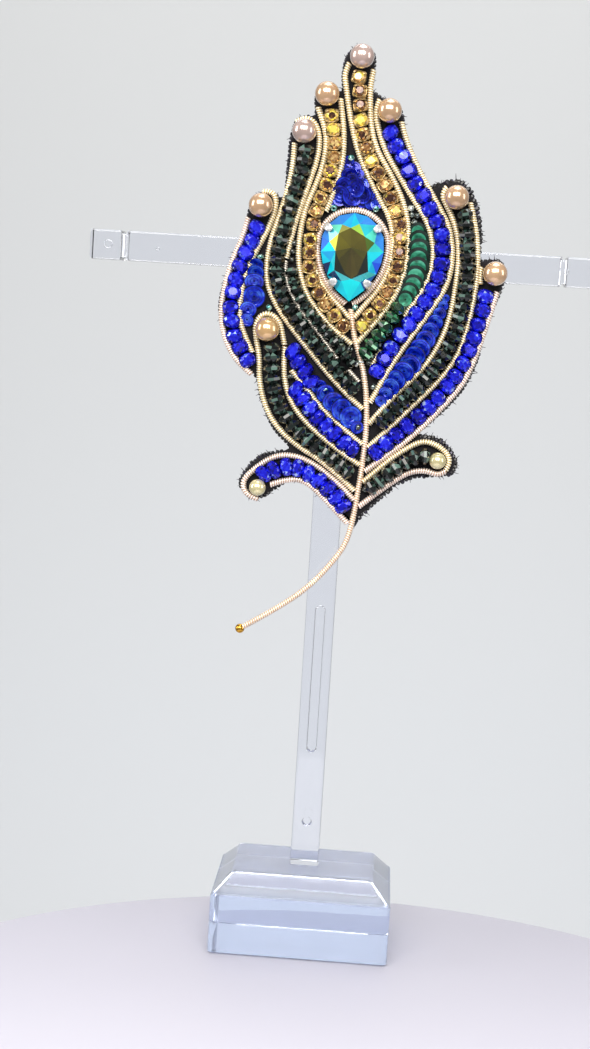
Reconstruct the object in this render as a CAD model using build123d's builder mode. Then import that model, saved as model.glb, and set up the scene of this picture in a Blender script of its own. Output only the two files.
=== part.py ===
from build123d import *
from math import asin, cos, degrees, radians, sin, sqrt, tan
import os

os.makedirs("parts", exist_ok=True)

# A peacock feather brooch, beaded and stitched on felt, pinned over the crossbar of a small
# clear T-bar stand. Millimetres. X is to the viewer's right, Y away from the viewer, Z up.
# The origin is under the middle of the stand's base.

# Stand
base_w = 38.0
base_d = 30.6
base_wall_h = 12.6
base_bevel_h = 4.1
base_bevel_in = 4.4
post_w = 6.1
post_slot_w = 2.2
post_slot_l = 31.8
post_slot_rise = 5.3  # from the stem's free end up to the top of the slot
post_slot_depth = 0.8
post_dimple_d = 2.0
post_dimple_drop = 15.3  # from the bottom of the slot down to the middle of the dimple
bar_size = 6.2
bar_l = 106.4
bar_z = 146.9
bar_end_l = 6.6
bar_groove_w = 1.1
bar_groove_depth = 0.6

# Brooch: felt, pin and the gaps that are left for stitches
felt_t = 2.5
pin_d = 1.0
pin_l = 26.0
pin_plate_w = 4.0
pin_plate_t = 0.8
pin_x = 8.0
pin_gap = 0.3  # between the pin and the crossbar
seat_gap = 0.1  # between the felt and what is sewn on it
set_gap = 0.12  # between the crystal and its setting

# The eye: a pear cut crystal in a cup with four prongs, and the gimp round it
eye_w = 13.0
eye_l = 18.0
eye_girdle_h = 2.6  # height of the girdle over the seat
eye_girdle_t = 0.4
eye_crown_h = 2.2
eye_culet_h = 0.7
eye_table_share = 0.6  # table's width as a share of the girdle's
eye_break_share = 0.85  # where the crown's two rows of facets meet
eye_break_rise = 0.55  # share of the crown's height there
eye_culet_share = 0.12
eye_facets = 16
cup_wall = 0.5
cup_floor = 0.4
cup_tuck = 0.35  # how far the cup stands back under the girdle
cup_rim_drop = 0.5  # how far the cup's rim is below the girdle
prong_w = 1.2
prong_t = 0.5
prong_reach = 0.9
prong_side_angle = 42.0  # of the upper prongs, from the crystal's widest line
prong_low_share = 0.45  # of the lower prongs, down the tapered side
ring_gap = 0.1

# Trims
gimp_d = 1.0
silver_wire_d = 0.5
stem_d = 1.25
stem_ball_d = 2.0
pearl_d = 5.0
small_pearl_d = 3.5
stone_d = 2.6
small_stone_d = 2.1
stone_gap = 0.2
stone_foot_share = 0.72  # foil cup's foot against the girdle
stone_table_share = 0.58
stone_girdle_h = 1.2
stone_girdle_t = 0.3
stone_crown_h = 0.7
stone_facets = 8
bead_d = 3.0
bead_l = 1.8
small_bead_d = 2.0
small_bead_l = 1.5
bead_gap = 0.3
bead_end_share = 0.5  # end face's width against the bead's
bead_rim_l = 0.5
bead_hole_d = 0.9
bead_sides = 8
hole_sides = 6
thread_d = 0.5
sequin_d = 3.1
sequin_t = 0.25
sequin_pitch = 1.84
sequin_tilt = 40.0
sequin_lift = 0.2
sequin_sides = 10

# Routes, chosen by hand on a drawing of the feather that is ruled in squares. Each point is
# (right, up) in squares from the middle of the drawing.
square = 1.05
drawing_x = 2.43
drawing_z = 147.3
eye_at = (-0.4, 2.05)  # middle of the crystal's round end
least_turn = 1.0  # degrees

felt_lobes = [
    [(-4.9, 32.1), (-5.1, 35.4), (-4.2, 39.2), (-1.6, 40.9), (1.3, 40.0), (2.2, 37.6), (1.8, 32.6)],
    [(1.8, 32.6), (4.3, 31.2), (7.0, 30.3), (8.3, 27.7), (9.2, 23.6), (10.9, 19.5), (13.9, 14.6)],
    [(13.9, 14.6), (16.7, 15.7), (20.0, 16.1), (22.9, 12.7), (24.8, 6.7), (24.9, 1.2)],
    [(24.9, 1.2), (28.9, 1.2), (30.1, -1.8), (29.3, -6.3), (26.7, -13.7), (26.0, -19.1), (22.9, -25.9),
     (17.6, -31.9), (15.6, -33.8)],
    [(15.6, -33.8), (19.9, -34.9), (23.2, -38.7), (22.0, -42.0), (17.6, -42.7), (11.8, -44.7), (3.1, -53.4)],
    [(3.1, -53.4), (-2.1, -49.6), (-6.4, -45.9), (-10.4, -45.7), (-14.9, -48.9), (-18.2, -49.2),
     (-20.3, -45.7), (-17.1, -40.6), (-11.1, -38.3)],
    [(-11.1, -38.3), (-14.5, -34.9), (-17.1, -29.7), (-18.3, -25.5), (-20.0, -23.8)],
    [(-20.0, -23.8), (-23.7, -19.9), (-26.6, -12.5), (-25.7, -5.2), (-22.7, 3.8), (-21.4, 9.4),
     (-18.2, 12.2), (-14.8, 11.2)],
    [(-14.8, 11.2), (-14.7, 16.5), (-14.4, 22.5), (-13.3, 26.2), (-9.9, 27.4)],
    [(-9.9, 27.4), (-10.1, 30.6), (-8.4, 33.1), (-6.2, 33.1), (-4.9, 32.1)],
]

gimp_routes = {
    "gimp_left_1_inner": [(-4.65, 30.2), (-3.7, 25.5), (-3.3, 20.4), (-3.7, 16.1), (-5.1, 11.0), (-6.1, 8.4)],
    "gimp_left_1_outer": [
        (-8.9, 28.3), (-7.1, 24.2), (-6.8, 20.5), (-7.3, 16.8), (-8.5, 12.9), (-10.0, 9.1), (-10.8, 4.8),
        (-11.05, 0.1), (-10.4, -4.1), (-8.8, -8.2), (-6.25, -11.4), (-3.5, -14.2), (-0.7, -16.2)],
    "gimp_left_2_inner": [
        (-13.1, 25.1), (-11.7, 26.0), (-10.0, 25.8), (-8.7, 24.4), (-8.1, 21.5), (-8.4, 18.3), (-9.6, 14.0),
        (-11.2, 8.7), (-12.3, 4.4), (-13.3, -1.2)],
    "gimp_left_2_outer": [
        (-13.0, 21.2), (-13.0, 17.2), (-13.6, 12.9), (-15.0, 7.4), (-16.5, 2.3), (-17.1, -2.0), (-16.9, -6.0),
        (-15.2, -9.7), (-12.9, -12.9), (-10.1, -16.3), (-6.7, -20.0), (-3.2, -23.8), (0.2, -27.0), (2.6, -29.0)],
    "gimp_left_3_inner": [
        (-18.8, 11.4), (-17.3, 11.6), (-16.0, 10.6), (-16.0, 8.0), (-17.2, 4.2), (-18.9, 0.8), (-21.2, -4.6),
        (-22.0, -10.1), (-21.7, -14.2), (-20.3, -17.4), (-18.9, -20.0)],
    "gimp_left_3_outer": [
        (-21.2, 6.3), (-22.0, 2.5), (-23.7, -1.6), (-24.9, -6.3), (-25.6, -11.2), (-25.2, -15.4),
        (-23.7, -19.3), (-21.3, -22.5), (-18.8, -24.3)],
    "gimp_left_4_inner": [
        (-12.5, -18.4), (-12.6, -22.9), (-11.7, -27.0), (-10.0, -30.4), (-7.2, -33.4), (-3.8, -36.1),
        (-0.4, -38.5), (2.7, -40.3)],
    "gimp_left_4_outer": [
        (-13.3, -15.6), (-13.7, -14.0), (-14.8, -12.7), (-16.4, -12.1), (-17.9, -12.9), (-18.6, -14.8),
        (-18.3, -17.2), (-17.4, -20.8), (-17.2, -25.0), (-16.2, -29.1), (-14.3, -32.9), (-11.5, -35.9),
        (-8.1, -38.3), (-4.7, -40.0), (-1.5, -42.3), (1.5, -44.8)],
    "gimp_left_5": [
        (-11.0, -23.0), (-7.5, -26.7), (-4.5, -30.2), (-1.0, -33.1), (3.1, -36.2)],
    "gimp_left_leaf_outer": [
        (2.0, -46.9), (0.9, -45.8), (-1.3, -44.0), (-5.5, -41.1), (-9.8, -39.7), (-13.6, -40.3), (-17.1, -43.0),
        (-19.1, -45.2), (-19.1, -47.2), (-17.7, -48.6), (-16.0, -49.0)],
    "gimp_left_leaf_inner": [
        (-13.8, -46.0), (-12.0, -45.2), (-8.9, -44.5), (-7.0, -44.9), (-5.3, -45.9), (-2.3, -48.5), (0.8, -51.5)],
    "gimp_right_1_inner": [
        (-3.3, 37.0), (-4.1, 35.2), (-3.8, 33.0), (-2.6, 27.2), (-1.1, 21.5), (1.0, 16.8), (3.9, 11.8),
        (6.2, 8.4), (7.2, 5.4), (7.4, 2.5), (7.3, 0.0), (6.9, -2.3), (6.1, -4.4), (5.0, -6.4), (3.5, -8.4),
        (1.9, -10.4)],
    "gimp_right_1_outer": [
        (1.45, 36.0), (1.0, 33.0), (1.2, 29.6), (1.7, 24.7), (3.2, 20.4), (6.2, 16.1), (8.6, 11.8),
        (10.1, 7.4), (10.5, 2.5), (10.2, -2.0), (9.2, -5.6), (7.5, -9.2), (5.0, -12.7), (2.9, -15.3)],
    "gimp_right_2_inner": [
        (3.0, 30.4), (2.4, 28.6), (2.8, 25.7), (4.5, 21.0), (7.1, 17.0), (10.8, 11.7), (13.5, 8.0),
        (14.8, 5.0), (15.5, 1.2), (15.1, -2.8), (13.5, -6.5), (11.6, -9.7), (10.5, -11.2)],
    "gimp_right_2_outer": [
        (7.5, 26.4), (8.2, 23.9), (10.9, 18.3), (13.6, 14.0), (16.1, 10.2), (18.1, 7.0), (19.1, 2.9),
        (19.2, -1.4), (18.2, -5.4), (16.2, -8.8), (14.1, -12.2), (11.8, -15.7), (9.2, -20.1), (7.2, -23.8),
        (5.9, -26.6)],
    "gimp_right_3_inner": [
        (17.2, 14.4), (16.4, 13.2), (16.9, 11.6), (18.3, 9.4), (19.9, 5.5), (20.5, 1.2), (20.4, -3.1),
        (19.8, -9.5), (18.8, -13.7), (16.8, -18.4), (13.9, -22.5), (10.5, -25.9), (7.5, -29.5), (5.95, -31.5)],
    "gimp_right_4_inner": [
        (21.9, 11.7), (23.3, 7.2), (24.1, 2.0), (24.3, -3.1), (23.9, -7.3), (23.2, -12.2), (21.8, -17.7),
        (19.3, -22.0), (16.3, -25.5), (13.1, -28.9), (9.9, -32.5), (5.95, -36.5)],
    "gimp_right_4_outer": [
        (28.4, -5.2), (27.3, -9.9), (26.1, -14.6), (24.5, -20.0), (22.7, -24.0), (20.1, -27.4), (16.9, -31.2),
        (13.7, -34.6), (10.1, -37.8), (6.0, -41.1)],
    "gimp_right_leaf_inner": [
        (5.3, -43.5), (8.2, -40.7), (11.6, -37.9), (14.8, -35.8), (16.5, -35.4), (18.2, -35.8), (19.8, -36.6),
        (21.1, -37.8), (21.5, -39.4), (20.8, -40.8)],
    "gimp_right_leaf_outer": [
        (4.9, -48.4), (8.2, -45.6), (11.8, -42.8), (13.5, -41.8), (15.2, -41.3), (17.1, -41.2), (18.8, -41.7)],
}
silver_route = [(-13.4, -2.8), (-13.2, -4.6), (-12.4, -7.3), (-9.7, -11.4), (-6.5, -14.8), (-3.9, -18.0), (-2.0, -20.2)]
stem_route = [
    (0.2, -11.4), (1.0, -15.6), (2.2, -18.9), (3.5, -23.0), (4.3, -28.0), (4.65, -33.5), (4.4, -39.0),
    (4.0, -44.0), (3.4, -49.5), (2.85, -53.4), (2.0, -56.8), (-0.1, -60.3), (-4.4, -65.6), (-10.7, -70.7),
    (-18.1, -75.3)]

stone_routes = {
    "gold_stones_left": [
        [(-6.2, 26.9), (-5.3, 22.5), (-5.1, 19.1), (-5.7, 15.6), (-6.9, 11.2), (-8.2, 7.4), (-8.7, 4.2),
         (-8.9, 1.4), (-8.8, -1.6), (-8.2, -4.4), (-6.8, -7.5), (-4.4, -10.6), (-1.2, -13.7)]],
    "gold_stones_right": [
        [(-1.1, 34.3), (-0.8, 29.0), (-0.1, 24.8), (1.5, 19.0), (4.4, 15.2), (7.0, 10.9), (8.4, 7.0),
         (8.9, 3.1), (8.8, -0.5), (8.3, -3.4), (7.0, -6.7), (5.6, -9.2), (3.6, -11.7), (2.4, -13.4)]],
    "blue_stones_right_inner": [
        [(5.5, 24.2), (7.9, 19.6), (11.3, 14.5), (15.3, 8.5), (17.1, 4.6), (17.3, 0.4), (16.9, -2.8), (15.3, -6.8),
         (13.1, -10.4), (9.9, -15.0), (7.0, -19.8), (5.9, -22.2)]],
    "blue_stones_right_outer": [
        [(26.0, -6.3), (25.4, -11.6), (23.9, -16.5), (21.8, -21.7), (18.5, -26.3), (13.9, -31.4), (9.9, -35.3),
         (6.8, -38.1)]],
    "blue_stones_left_outer": [
        [(-19.4, 4.4), (-20.9, 0.4), (-22.5, -3.9), (-23.5, -8.6), (-23.6, -13.4), (-22.4, -18.0), (-19.9, -21.4)]],
}
small_stone_routes = {
    "blue_stones_left_low": [
        [(-9.8, -26.7), (-8.1, -29.0), (-5.9, -31.3), (-2.6, -34.3), (1.0, -37.0), (2.3, -37.7)],
        [(-11.0, -19.3), (-9.7, -20.8), (-7.9, -23.3), (-6.9, -25.1)]],
    "blue_stones_left_leaf": [
        [(-15.3, -43.9), (-12.8, -42.6), (-9.8, -42.0), (-7.2, -42.6), (-4.9, -43.9), (-1.3, -46.9), (1.1, -49.2)]],
}
bead_routes = {
    "dark_beads_left": [
        (-10.6, 19.9), (-10.8, 17.2), (-11.6, 14.0), (-12.9, 9.8), (-13.7, 5.5), (-14.9, 0.6), (-15.1, -3.5),
        (-14.3, -7.5), (-12.0, -11.3), (-8.6, -15.1), (-5.4, -18.6), (-1.5, -22.9), (1.6, -25.8)],
    "dark_beads_left_low": [
        (-15.0, -18.8), (-14.9, -22.0), (-14.4, -26.4), (-12.6, -31.0), (-9.4, -34.6), (-5.5, -37.4),
        (-1.2, -40.3), (1.6, -42.3)],
    "dark_beads_right": [
        (21.0, 9.3), (21.9, 3.9), (22.4, -0.9), (22.1, -6.5), (21.3, -12.2), (19.6, -17.1), (16.3, -22.7),
        (12.5, -26.6), (9.0, -30.6), (7.6, -32.1)],
    "dark_beads_right_leaf": [
        (6.3, -45.1), (9.9, -41.9), (13.3, -39.2), (15.2, -38.4), (16.5, -38.3)],
    "green_beads": [(9.3, -9.6), (7.2, -13.1), (4.3, -17.3)],
}
small_bead_routes = {
    "dark_beads_left_inner": [
        (-12.0, -3.8), (-11.3, -6.3), (-9.7, -9.4), (-6.6, -13.0), (-3.4, -16.1), (-1.3, -18.5)],
}
sequin_routes = {
    "green_sequins": [(12.4, 5.2), (12.9, 2.6), (12.85, -0.8), (12.2, -3.9), (10.05, -7.8)],
    "blue_sequins_right": [(17.0, -11.9), (15.8, -14.9), (13.7, -18.2), (11.3, -21.5), (8.8, -25.0), (7.6, -27.0)],
    "blue_sequins_left": [(-19.0, -5.0), (-19.3, -7.8), (-19.2, -11.0), (-19.9, -13.2)],
    "blue_sequins_low": [(-3.9, -27.4), (-1.5, -29.4), (1.5, -31.6)],
    "blue_sequins_top": [(-1.5, 17.0), (-1.1, 14.2), (-0.5, 11.3)],
}
pearls = {
    "pearl_top": (-0.9, 38.2),
    "pearl_left_1": (-7.2, 30.75),
    "pearl_left_2": (-11.2, 23.4),
    "pearl_left_3": (-18.8, 8.7),
    "pearl_left_4": (-16.1, -15.3),
    "pearl_right_2": (5.1, 28.2),
    "pearl_right_3": (19.2, 12.4),
    "pearl_right_4": (27.7, -1.8),
}
small_pearls = {
    "pearl_left_leaf": (-16.2, -46.6),
    "pearl_right_leaf": (19.05, -39.0),
}

# Worked out from the sizes above
base_h = base_wall_h + base_bevel_h
bar_front = bar_size / 2
felt_back = bar_front + pin_gap + pin_plate_t + seat_gap  # how far the felt's back is before the post's middle
seat = felt_back + felt_t + seat_gap  # how far the lowest point of each trim is before the post's middle


def front_plane(height=0.0):
    """The plane that faces the viewer, at this height over the seat, with the drawing's middle as its origin."""
    return Plane(origin=(drawing_x, -(seat + height), drawing_z), x_dir=(1, 0, 0), z_dir=(0, -1, 0))


def on_drawing(points):
    """Points of the drawing in millimetres."""
    return [(u * square, v * square) for u, v in points]


def smooth_route(points):
    """Straight runs joined by tangent arcs, drawn in the sketch line in hand.

    Each arc is as large as its two runs allow: 0.45 of the shorter run over the tangent of half
    the turn. A point where the route hardly turns has no arc and is left out.
    """
    turns = []
    for before, here, after in zip(points, points[1:], points[2:]):
        into = Vector(*here) - Vector(*before)
        out = Vector(*after) - Vector(*here)
        turns.append((here, into.get_angle(out)))
    kept = [points[0]] + [here for here, turn in turns if turn > least_turn] + [points[-1]]
    radii = []
    for before, here, after in zip(kept, kept[1:], kept[2:]):
        into = Vector(*here) - Vector(*before)
        out = Vector(*after) - Vector(*here)
        half_turn = radians(into.get_angle(out)) / 2
        radii.append(0.45 * min(into.length, out.length) / tan(half_turn))
    FilletPolyline(*kept, radius=radii)


def finish(part, name):
    """Label a finished piece and write it."""
    part.label = name
    export_step(part, "parts/" + name + ".step")


def wire(points, diameter):
    """A round wire that lies on the seat along hand-chosen points: straight runs joined by tangent arcs."""
    with BuildPart() as tube:
        with BuildLine(front_plane(diameter / 2)) as path:
            smooth_route(points)
        with BuildSketch(Plane(origin=path.wire() @ 0, z_dir=path.wire() % 0)):
            Circle(diameter / 2)
        sweep()
    return tube.part


def stations(points, pitch):
    """Places on the drawing, each turned along the route, spaced by about one pitch from end to end."""
    with BuildLine() as path:
        smooth_route(points)
    line = path.wire()
    count = int(line.length / pitch)
    places = []
    for index in range(count + 1):
        along = line.length * index / count
        spot = line.position_at(along, position_mode=PositionMode.LENGTH)
        way = line.tangent_at(along, position_mode=PositionMode.LENGTH)
        turn = Vector(1, 0, 0).get_signed_angle(way, Vector(0, 0, 1))
        places.append(Location((spot.X, spot.Y, 0), (0, 0, turn)))
    return places


def row_of(unit, routes, pitch):
    """Copies of one small piece along one or more routes, as loose solids of one part."""
    places = [place for points in routes for place in stations(on_drawing(points), pitch)]
    with BuildPart(front_plane()) as row:
        with Locations(*places):
            add(unit)
    return row.part


# Stand: bevelled base, post with a shallow slot and a dimple under it, crossbar with a grooved block at each end

with BuildPart() as stand_base:
    with BuildSketch():
        Rectangle(base_w, base_d)
    extrude(amount=base_wall_h)
    with BuildSketch(Plane.XY.offset(base_wall_h)):
        Rectangle(base_w, base_d)
    with BuildSketch(Plane.XY.offset(base_h)):
        Rectangle(base_w - 2 * base_bevel_in, base_d - 2 * base_bevel_in)
    loft()
finish(stand_base.part, "stand_base")

with BuildPart() as stand_post:
    with BuildSketch(Plane.XY.offset(base_h)):
        Rectangle(post_w, post_w)
    extrude(amount=bar_z - bar_size / 2 - base_h)
    slot_top = drawing_z + square * stem_route[-1][1] + post_slot_rise
    with BuildSketch(Plane.XZ.offset(post_w / 2)):
        with Locations((0, slot_top - post_slot_l / 2)):
            SlotOverall(post_slot_l, post_slot_w, rotation=90)
        with Locations((0, slot_top - post_slot_l - post_dimple_drop)):
            Circle(post_dimple_d / 2)
    extrude(amount=-post_slot_depth, mode=Mode.SUBTRACT)
finish(stand_post.part, "stand_post")

with BuildPart() as stand_bar:
    with BuildSketch(Plane.YZ.offset(-bar_l / 2)):
        with Locations((0, bar_z)):
            Rectangle(bar_size, bar_size)
    extrude(amount=bar_l)
    groove_x = bar_l / 2 - bar_end_l - bar_groove_w / 2
    for side in (-1, 1):
        with BuildSketch(Plane.YZ.offset(side * groove_x)):
            with Locations((0, bar_z)):
                Rectangle(2 * bar_size, 2 * bar_size)
                Rectangle(bar_size - 2 * bar_groove_depth, bar_size - 2 * bar_groove_depth, mode=Mode.SUBTRACT)
        extrude(amount=bar_groove_w / 2, both=True, mode=Mode.SUBTRACT)
finish(stand_bar.part, "stand_bar")

# Felt backing: one curve for each lobe, from notch to notch

with BuildPart() as felt_base:
    with BuildSketch(front_plane(-seat_gap - felt_t)):
        with BuildLine():
            for lobe in felt_lobes:
                Spline(*on_drawing(lobe))
        make_face()
    extrude(amount=felt_t)
finish(felt_base.part, "felt_base")

# Pin: a plate sewn to the felt and a closed needle behind the crossbar

with BuildPart() as bar_pin:
    needle_y = bar_front + pin_gap + pin_d / 2
    plate_y = -(bar_front + pin_gap + pin_plate_t / 2)
    with Locations((pin_x, plate_y, bar_z)):
        Box(pin_plate_w, pin_plate_t, pin_l)
    bend = 2 * pin_d
    with BuildLine(Plane.YZ.offset(pin_x)) as needle_path:
        FilletPolyline(
            (plate_y, bar_z - pin_l / 2 + pin_d), (needle_y, bar_z - pin_l / 2 + pin_d),
            (needle_y, bar_z + pin_l / 2 - pin_d), (plate_y, bar_z + pin_l / 2 - pin_d), radius=bend)
    with BuildSketch(Plane(origin=needle_path.wire() @ 0, z_dir=needle_path.wire() % 0)):
        Circle(pin_d / 2)
    sweep()
finish(bar_pin.part, "bar_pin")

# Eye: pear outline as a half circle and two long arcs that are tangent to it

eye_r = eye_w / 2
eye_side_r = ((eye_l - eye_r) ** 2 + eye_r**2) / eye_w  # arc through the widest point and the pear's tip
eye_middle = (eye_at[0] * square, eye_at[1] * square)
eye_centre = front_plane().from_local_coords(Vector(*eye_middle, 0))


def eye_plane(height=0.0):
    """The plane that faces the viewer, with the middle of the crystal's round end as its origin."""
    return Plane(origin=eye_centre - Vector(0, height, 0), x_dir=(1, 0, 0), z_dir=(0, -1, 0))


def pear_points(grow=0.0):
    """Corners of a pear outline that stands out by grow: even steps round the half circle and down each side."""
    top_r = eye_r + grow
    side_r = eye_side_r + grow
    side_x = eye_side_r - eye_r  # the side arcs' centres are this far past the middle
    steps = eye_facets // 4
    sweep_angle = asin(sqrt(side_r**2 - side_x**2) / side_r)
    right = [
        (side_r * cos(sweep_angle * step / steps) - side_x, -side_r * sin(sweep_angle * step / steps))
        for step in range(1, steps)
    ]
    tip = (0, -sqrt(side_r**2 - side_x**2))
    top = [(top_r * cos(radians(180 * step / (2 * steps))), top_r * sin(radians(180 * step / (2 * steps))))
           for step in range(2 * steps + 1)]
    left = [(-x, y) for x, y in right]
    return top + left + [tip] + right[::-1]


def pear(share=1.0, grow=0.0):
    """A pear polygon in the sketch in hand, scaled about the middle of the round end."""
    Polygon(*[(x * share, y * share) for x, y in pear_points(grow)], align=None)


with BuildPart() as eye_crystal:
    girdle_top = eye_girdle_h + eye_girdle_t
    with BuildSketch(eye_plane(eye_culet_h)):
        pear(eye_culet_share)
    with BuildSketch(eye_plane(eye_girdle_h)):
        pear()
    loft(ruled=True)
    with BuildSketch(eye_plane(eye_girdle_h)):
        pear()
    extrude(amount=eye_girdle_t)
    with BuildSketch(eye_plane(girdle_top)):
        pear()
    with BuildSketch(eye_plane(girdle_top + eye_break_rise * eye_crown_h)):
        pear(eye_break_share)
    loft(ruled=True)
    with BuildSketch(eye_plane(girdle_top + eye_break_rise * eye_crown_h)):
        pear(eye_break_share)
    with BuildSketch(eye_plane(girdle_top + eye_crown_h)):
        pear(eye_table_share)
    loft(ruled=True)
finish(eye_crystal.part, "eye_crystal")


def prong(foot, outward):
    """One prong: up from the cup's rim past the girdle and over the crown, facing outward from the stone."""
    inner = set_gap
    outer = set_gap + prong_t
    girdle_top = eye_girdle_h + eye_girdle_t
    crown_slope = eye_break_rise * eye_crown_h / (eye_r * (1 - eye_break_share))
    tip_h = girdle_top + min(prong_reach * crown_slope, eye_break_rise * eye_crown_h) + 2 * set_gap
    foot_h = gimp_d + set_gap
    x_axis = Vector(cos(radians(outward)), 0, sin(radians(outward)))
    side = Plane(origin=foot, x_dir=x_axis, z_dir=x_axis.cross(Vector(0, -1, 0)))
    with BuildSketch(side) as profile:
        Polygon(
            (-cup_tuck - cup_wall / 2, foot_h), (outer, foot_h), (outer, girdle_top), (-prong_reach / 2, tip_h + prong_t),
            (-prong_reach, tip_h + prong_t / 2), (-prong_reach, tip_h), (inner, girdle_top + set_gap),
            (inner, eye_girdle_h - cup_rim_drop), (-cup_tuck - cup_wall / 2, eye_girdle_h - cup_rim_drop),
            align=None)
    return extrude(profile.sketch, amount=prong_w / 2, both=True, mode=Mode.PRIVATE)


with BuildPart() as eye_setting:
    rim_h = eye_girdle_h - cup_rim_drop
    with BuildSketch(eye_plane()):
        pear(grow=-cup_tuck)
    extrude(amount=rim_h)
    with BuildSketch(eye_plane(cup_floor)):
        pear(grow=-cup_tuck - cup_wall)
    extrude(amount=rim_h - cup_floor, mode=Mode.SUBTRACT)
    low_angle = prong_low_share * asin((eye_l - eye_r) / eye_side_r)
    for hand in (-1, 1):
        upper = radians(prong_side_angle)
        upper_foot = eye_centre + Vector(hand * eye_r * cos(upper), 0, eye_r * sin(upper))
        add(prong(upper_foot, prong_side_angle if hand > 0 else 180 - prong_side_angle))
        low_x = eye_side_r * cos(low_angle) - (eye_side_r - eye_r)
        lower_foot = eye_centre + Vector(hand * low_x, 0, -eye_side_r * sin(low_angle))
        add(prong(lower_foot, -degrees(low_angle) if hand > 0 else 180 + degrees(low_angle)))
finish(eye_setting.part, "eye_setting")

with BuildPart() as gimp_eye_ring:
    ring_out = ring_gap + gimp_d / 2
    ring_side_x = eye_side_r - eye_r
    ring_side_r = eye_side_r + ring_out
    ring_turn = degrees(asin(sqrt(ring_side_r**2 - (ring_side_x + gimp_d) ** 2) / ring_side_r))
    with BuildLine(eye_plane(gimp_d / 2)) as ring_path:
        CenterArc((ring_side_x, 0), ring_side_r, 180 + ring_turn, -ring_turn)
        CenterArc((0, 0), eye_r + ring_out, 180, -180)
        CenterArc((-ring_side_x, 0), ring_side_r, 0, -ring_turn)
    with BuildSketch(Plane(origin=ring_path.wire() @ 0, z_dir=ring_path.wire() % 0)):
        Circle(gimp_d / 2)
    sweep()
finish(gimp_eye_ring.part, "gimp_eye_ring")

# Pearls, one at the end of each barb

for diameter, places in ((pearl_d, pearls), (small_pearl_d, small_pearls)):
    for name, at in places.items():
        with BuildPart(front_plane(diameter / 2)) as pearl:
            with Locations(on_drawing([at])[0]):
                Sphere(diameter / 2)
        finish(pearl.part, name)

# Wires: gimp along both sides of each strip, and one thin silver wire

for name, route in gimp_routes.items():
    finish(wire(on_drawing(route), gimp_d), name)
finish(wire(on_drawing(silver_route), silver_wire_d), "silver_wire_left")

with BuildPart() as stem_wire:
    stem_points = on_drawing(stem_route)
    stem_last, stem_end = (front_plane(stem_d / 2).from_local_coords(Vector(*at, 0)) for at in stem_points[-2:])
    with Locations(Plane(origin=stem_end, z_dir=stem_end - stem_last)):
        Sphere(stem_ball_d / 2)
    add(wire(stem_points, stem_d))
finish(stem_wire.part, "stem_wire")


# Stones: foil cup that widens to the girdle, a crown of eight facets and a table

def cut_stone(diameter):
    """One set stone on its foot, with its parts sized by its diameter."""
    levels = [
        (0, stone_foot_share),
        (stone_girdle_h, 1.0),
        (stone_girdle_h + stone_girdle_t, 1.0),
        (stone_girdle_h + stone_girdle_t + stone_crown_h, stone_table_share),
    ]
    with BuildPart() as stone:
        for (low, low_share), (high, high_share) in zip(levels, levels[1:]):
            with BuildSketch(Plane.XY.offset(low)):
                RegularPolygon(diameter / 2 * low_share, stone_facets)
            with BuildSketch(Plane.XY.offset(high)):
                RegularPolygon(diameter / 2 * high_share, stone_facets)
            loft(ruled=True)
    return stone.part


for diameter, route_lists in ((stone_d, stone_routes), (small_stone_d, small_stone_routes)):
    for name, routes in route_lists.items():
        finish(row_of(cut_stone(diameter), routes, diameter + stone_gap), name)


# Rondelles: faceted beads drilled along the string, and the thread through them

def rondelle(diameter, length):
    """One bead whose hole lies along the string, resting on the seat."""
    levels = [(-length / 2, bead_end_share), (-bead_rim_l / 2, 1.0), (bead_rim_l / 2, 1.0), (length / 2, bead_end_share)]
    middle = Plane(origin=(0, 0, diameter / 2), z_dir=(1, 0, 0))
    with BuildPart() as bead:
        for (low, low_share), (high, high_share) in zip(levels, levels[1:]):
            with BuildSketch(middle.offset(low)):
                RegularPolygon(diameter / 2 * low_share, bead_sides)
            with BuildSketch(middle.offset(high)):
                RegularPolygon(diameter / 2 * high_share, bead_sides)
            loft(ruled=True)
        with BuildSketch(middle.offset(-length)):
            RegularPolygon(bead_hole_d / 2, hole_sides)
        extrude(amount=2 * length, mode=Mode.SUBTRACT)
    return bead.part


threads = []
for diameter, length, route_lists in (
    (bead_d, bead_l, bead_routes),
    (small_bead_d, small_bead_l, small_bead_routes),
):
    for name, route in route_lists.items():
        finish(row_of(rondelle(diameter, length), [route], length + bead_gap), name)
        threads.append((on_drawing(route), diameter / 2 - thread_d / 2))

with BuildPart() as bead_threads:
    for points, height in threads:
        add(wire(points, thread_d).moved(Location((0, -height, 0))))
finish(bead_threads.part, "bead_threads")

# Sequins: round discs that lean on each other like scales

with BuildPart() as sequin:
    sequin_rise = sequin_d / 2 * sin(radians(sequin_tilt)) + sequin_lift
    with BuildSketch(Plane.XY.rotated((0, -sequin_tilt, 0)).move(Location((0, 0, sequin_rise)))):
        RegularPolygon(sequin_d / 2, sequin_sides)
    extrude(amount=sequin_t)
for name, route in sequin_routes.items():
    finish(row_of(sequin.part, [route], sequin_pitch), name)
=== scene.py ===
from collections import namedtuple
from math import acos, asin, cos, pi, radians, sin

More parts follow.
